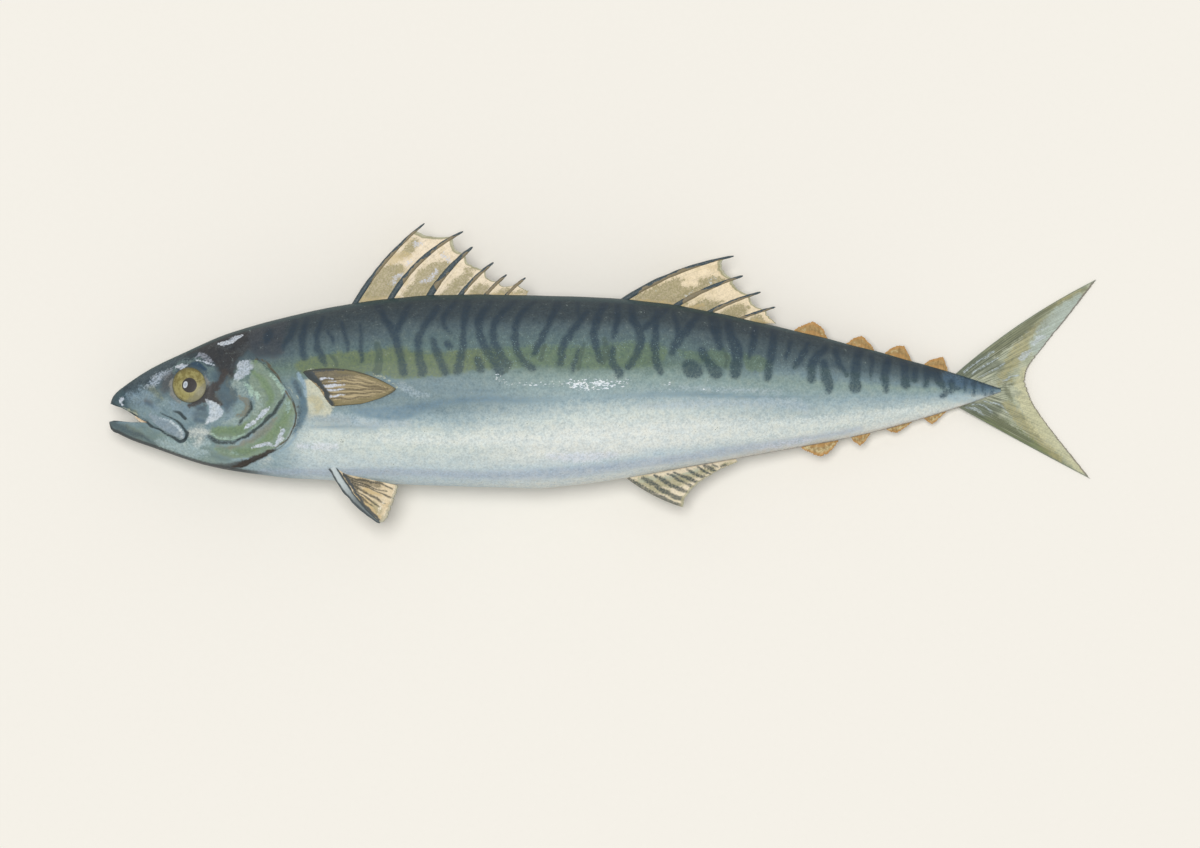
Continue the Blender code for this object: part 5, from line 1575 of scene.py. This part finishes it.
def makePectoralMaterial():
    paint = Paint("pectoral_fin")
    gate, mix = paint.gate, paint.mix
    grain, mottle = paint.noise(0.6, 3, rough=0.7), paint.noise(1.7, 4, rough=0.62)
    streak = paint.rayNoise(34, 3, detail=4)
    colour = mix(gate(streak, 0.42, 0.6), pectoral["ground"], pectoral["groundLight"])
    colour, _ = layered(paint, colour, pectoralLayers, grain, mottle)
    shaken = (mottle - 0.5) * 0.06 + paint.field("across")
    colour = mix(gate(shaken, 0.05, 0.015) * 0.8, colour, pectoral["front"])
    colour = mix(gate(shaken, 0.955, 0.985) * 0.7, colour, pectoral["rear"])
    colour = mix(gate(paint.field("out"), 0.96, 0.99) * 0.6, colour, pectoral["tip"])
    under = paint.bump(paint.field("ridge"), 0.4, 0.06)
    return paint.finish(colour, grain, 0.4, 0.5, 0.2, 0.06, mottle, 0.4, under)


# each finlet: its outline beyond the fish's edge, in the picture's pixels
dorsalFinlets = [
    [(791, 332), (801, 325), (809, 322.5), (813.5, 320.5), (818, 323.5), (823.5, 328), (828, 338)],
    [(846, 343.5), (853.5, 338), (861.5, 335), (864.5, 336.5), (868, 340.5), (873, 346), (875.5, 351)],
    [(883, 354.5), (890.5, 348.5), (898, 345.2), (905, 345.2), (908.5, 352), (912, 359.5), (914, 363)],
    [(922, 366), (930.5, 359.5), (937, 357.8), (943.8, 356.2), (946, 361), (948.5, 368), (949, 372)],
]
ventralFinlets = [
    [(801, 448), (806, 451.4), (812, 453.8), (820.5, 457.4), (828, 454), (834.5, 447.8), (839, 441)],
    [(850.5, 437.5), (855, 442.8), (860.5, 446.3), (865.5, 442.2), (871, 434)],
    [(884.5, 428.5), (891.5, 432.2), (897.5, 433.4), (903.5, 429.4), (910, 425.2), (914.5, 421)],
    [(921, 416.5), (927, 420.8), (933.3, 425), (940, 418.4), (949, 410.5)],
]
finletRows = dict(
    dorsal=dict(outlines=dorsalFinlets, edge=backLine, outward=1, paleness=-0.06, seed=20),
    ventral=dict(outlines=ventralFinlets, edge=bellyLine, outward=-1, paleness=0.04, seed=30),
)
finletInset = 0.06  # how far its root is drawn in at each end, as a share of its length
finletTones = dict(inside=(182, 150, 98), pale=(210, 196, 150), edge=(198, 148, 86), shade=(146, 118, 74))


def makeFinletMaterial(name, paleness):
    paint = Paint(name)
    gate, mix = paint.gate, paint.mix
    out = paint.field("out")
    grain, mottle = paint.noise(0.5, 3, rough=0.7), paint.noise(1.3, 4, rough=0.65)
    colour = mix(gate(mottle + paleness, 0.46, 0.62), finletTones["inside"], finletTones["pale"])
    colour = mix(gate(paint.rayNoise(9, 1.6, detail=4), 0.46, 0.6) * 0.75, colour, finletTones["shade"])
    colour = mix(gate(mottle, 0.48, 0.36) * 0.55, colour, finletTones["shade"])
    border = paint.math("MAXIMUM", abs(paint.field("across") - 0.5) * 2.0, out)
    border = (mottle - 0.5) * 0.3 + border
    colour = mix(gate(border, 0.7, 0.95) * 0.8, colour, finletTones["edge"])
    colour = mix(gate(mottle * 0.2 + out, 0.62, 0.5) * 0.5, colour, finletTones["edge"])
    return paint.finish(colour, grain, 0.44, 0.55, 0.2, 0.05, glow=0.05)


def makeFinlet(name, outline, row, made, seed):
    points = seen(*outline)
    first, last = points[0][0], points[-1][0]
    rays = []
    for tip in points:
        x = first + finletInset * (last - first) + (1 - 2 * finletInset) * (tip[0] - first)
        rays.append(((x, float(row["edge"](x)) - row["outward"] * rootDepth / 2), tip, 0.0))
    settle(finSheet(name, rays, made, each=9, rows=30, thick=(0.9, 0.35), ridges=8, ridgeHeight=0.04,
                    fray=0.3, seed=seed))


def makeFins():
    bone = spineMaterial()
    makeSpinyFin("first_dorsal", firstDorsal, firstDorsalLayers, bone)
    makeSpinyFin("second_dorsal", secondDorsal, secondDorsalLayers, bone)
    makeTail()
    makeAnalFin()
    pelvicSkin = finMaterial("pelvic_fin", (232, 214, 180), pelvicLayers, (214, 190, 144), (196, 186, 158))
    pelvicBone = makePelvicSpineMaterial()
    pectoralSkin = makePectoralMaterial()
    for side in (1, -1):
        makePelvicFin(side, pelvicSkin, pelvicBone)
        makePectoralFin(side, pectoralSkin)
    for name, row in finletRows.items():
        made = makeFinletMaterial(name + "_finlet", row["paleness"])
        for number, outline in enumerate(row["outlines"], start=1):
            makeFinlet(f"{name}_finlet_{number}", outline, row, made, row["seed"] + number)
    print("fins made")


# The table, the light and the camera.

floorLook = dict(size=12, light=(246, 242, 233), shade=(244, 240, 231), roughness=0.95)
light = dict(sky=0.40, key=1.90, keyWidth=24, keyFrom=(-0.07, 0.10, 1.0))
view = dict(lens=500, film=36, level=20, width=1200, middle=(600, 424), nearest=0.05, farthest=60)


def makeFloor():
    paint = Paint("paper_floor")
    tone = paint.mix(paint.noise(2, 3), floorLook["light"], floorLook["shade"])
    made = paint.shade({"Base Color": tone, "Roughness": floorLook["roughness"], "Specular IOR Level": 0.0})
    size = floorLook["size"]
    corners = [(-size, -size, 0), (size, -size, 0), (size, size, 0), (-size, size, 0)]
    floor = newPiece("floor", corners, [[0, 1, 2, 3]], [made])


def makeLight():
    scene = bpy.context.scene
    world = bpy.data.worlds.new("studio")
    world.use_nodes = True
    sky = world.node_tree.nodes["Background"]
    sky.inputs["Color"].default_value = (1, 1, 1, 1)
    sky.inputs["Strength"].default_value = light["sky"]
    scene.world = world
    lamp = bpy.data.lights.new("key", "SUN")
    lamp.energy = light["key"]
    lamp.angle = math.radians(light["keyWidth"])
    holder = bpy.data.objects.new("key", lamp)
    holder.rotation_euler = Vector(light["keyFrom"]).to_track_quat("Z", "Y").to_euler()
    scene.collection.objects.link(holder)
    scene.view_settings.view_transform = "Standard"
    scene.view_settings.look = "None"


def makeCamera():
    # straight above, at the picture's framing, with the fish's own level at the picture's scale
    middle = seen(view["middle"])[0]
    place = toFrame(np.array(middle[0]), np.array(middle[1]), np.array(view["level"]))
    away = view["lens"] / view["film"] * view["width"] * pictureStep * unit
    camera = bpy.data.cameras.new("camera")
    camera.lens = view["lens"]
    camera.sensor_width = view["film"]
    camera.clip_start = view["nearest"]
    camera.clip_end = view["farthest"]
    holder = bpy.data.objects.new("camera", camera)
    holder.location = (place[0], place[1], place[2] + away)
    bpy.context.scene.collection.objects.link(holder)
    bpy.context.scene.camera = holder


makeFloor()
makeLight()
makeCamera()
print("stage set")
makeSkin()
eyeMaterial = makeEyeMaterial()
for eyeSide in (1, -1):
    makeEye(eyeSide, eyeMaterial)
print("eyes made")
makeFins()
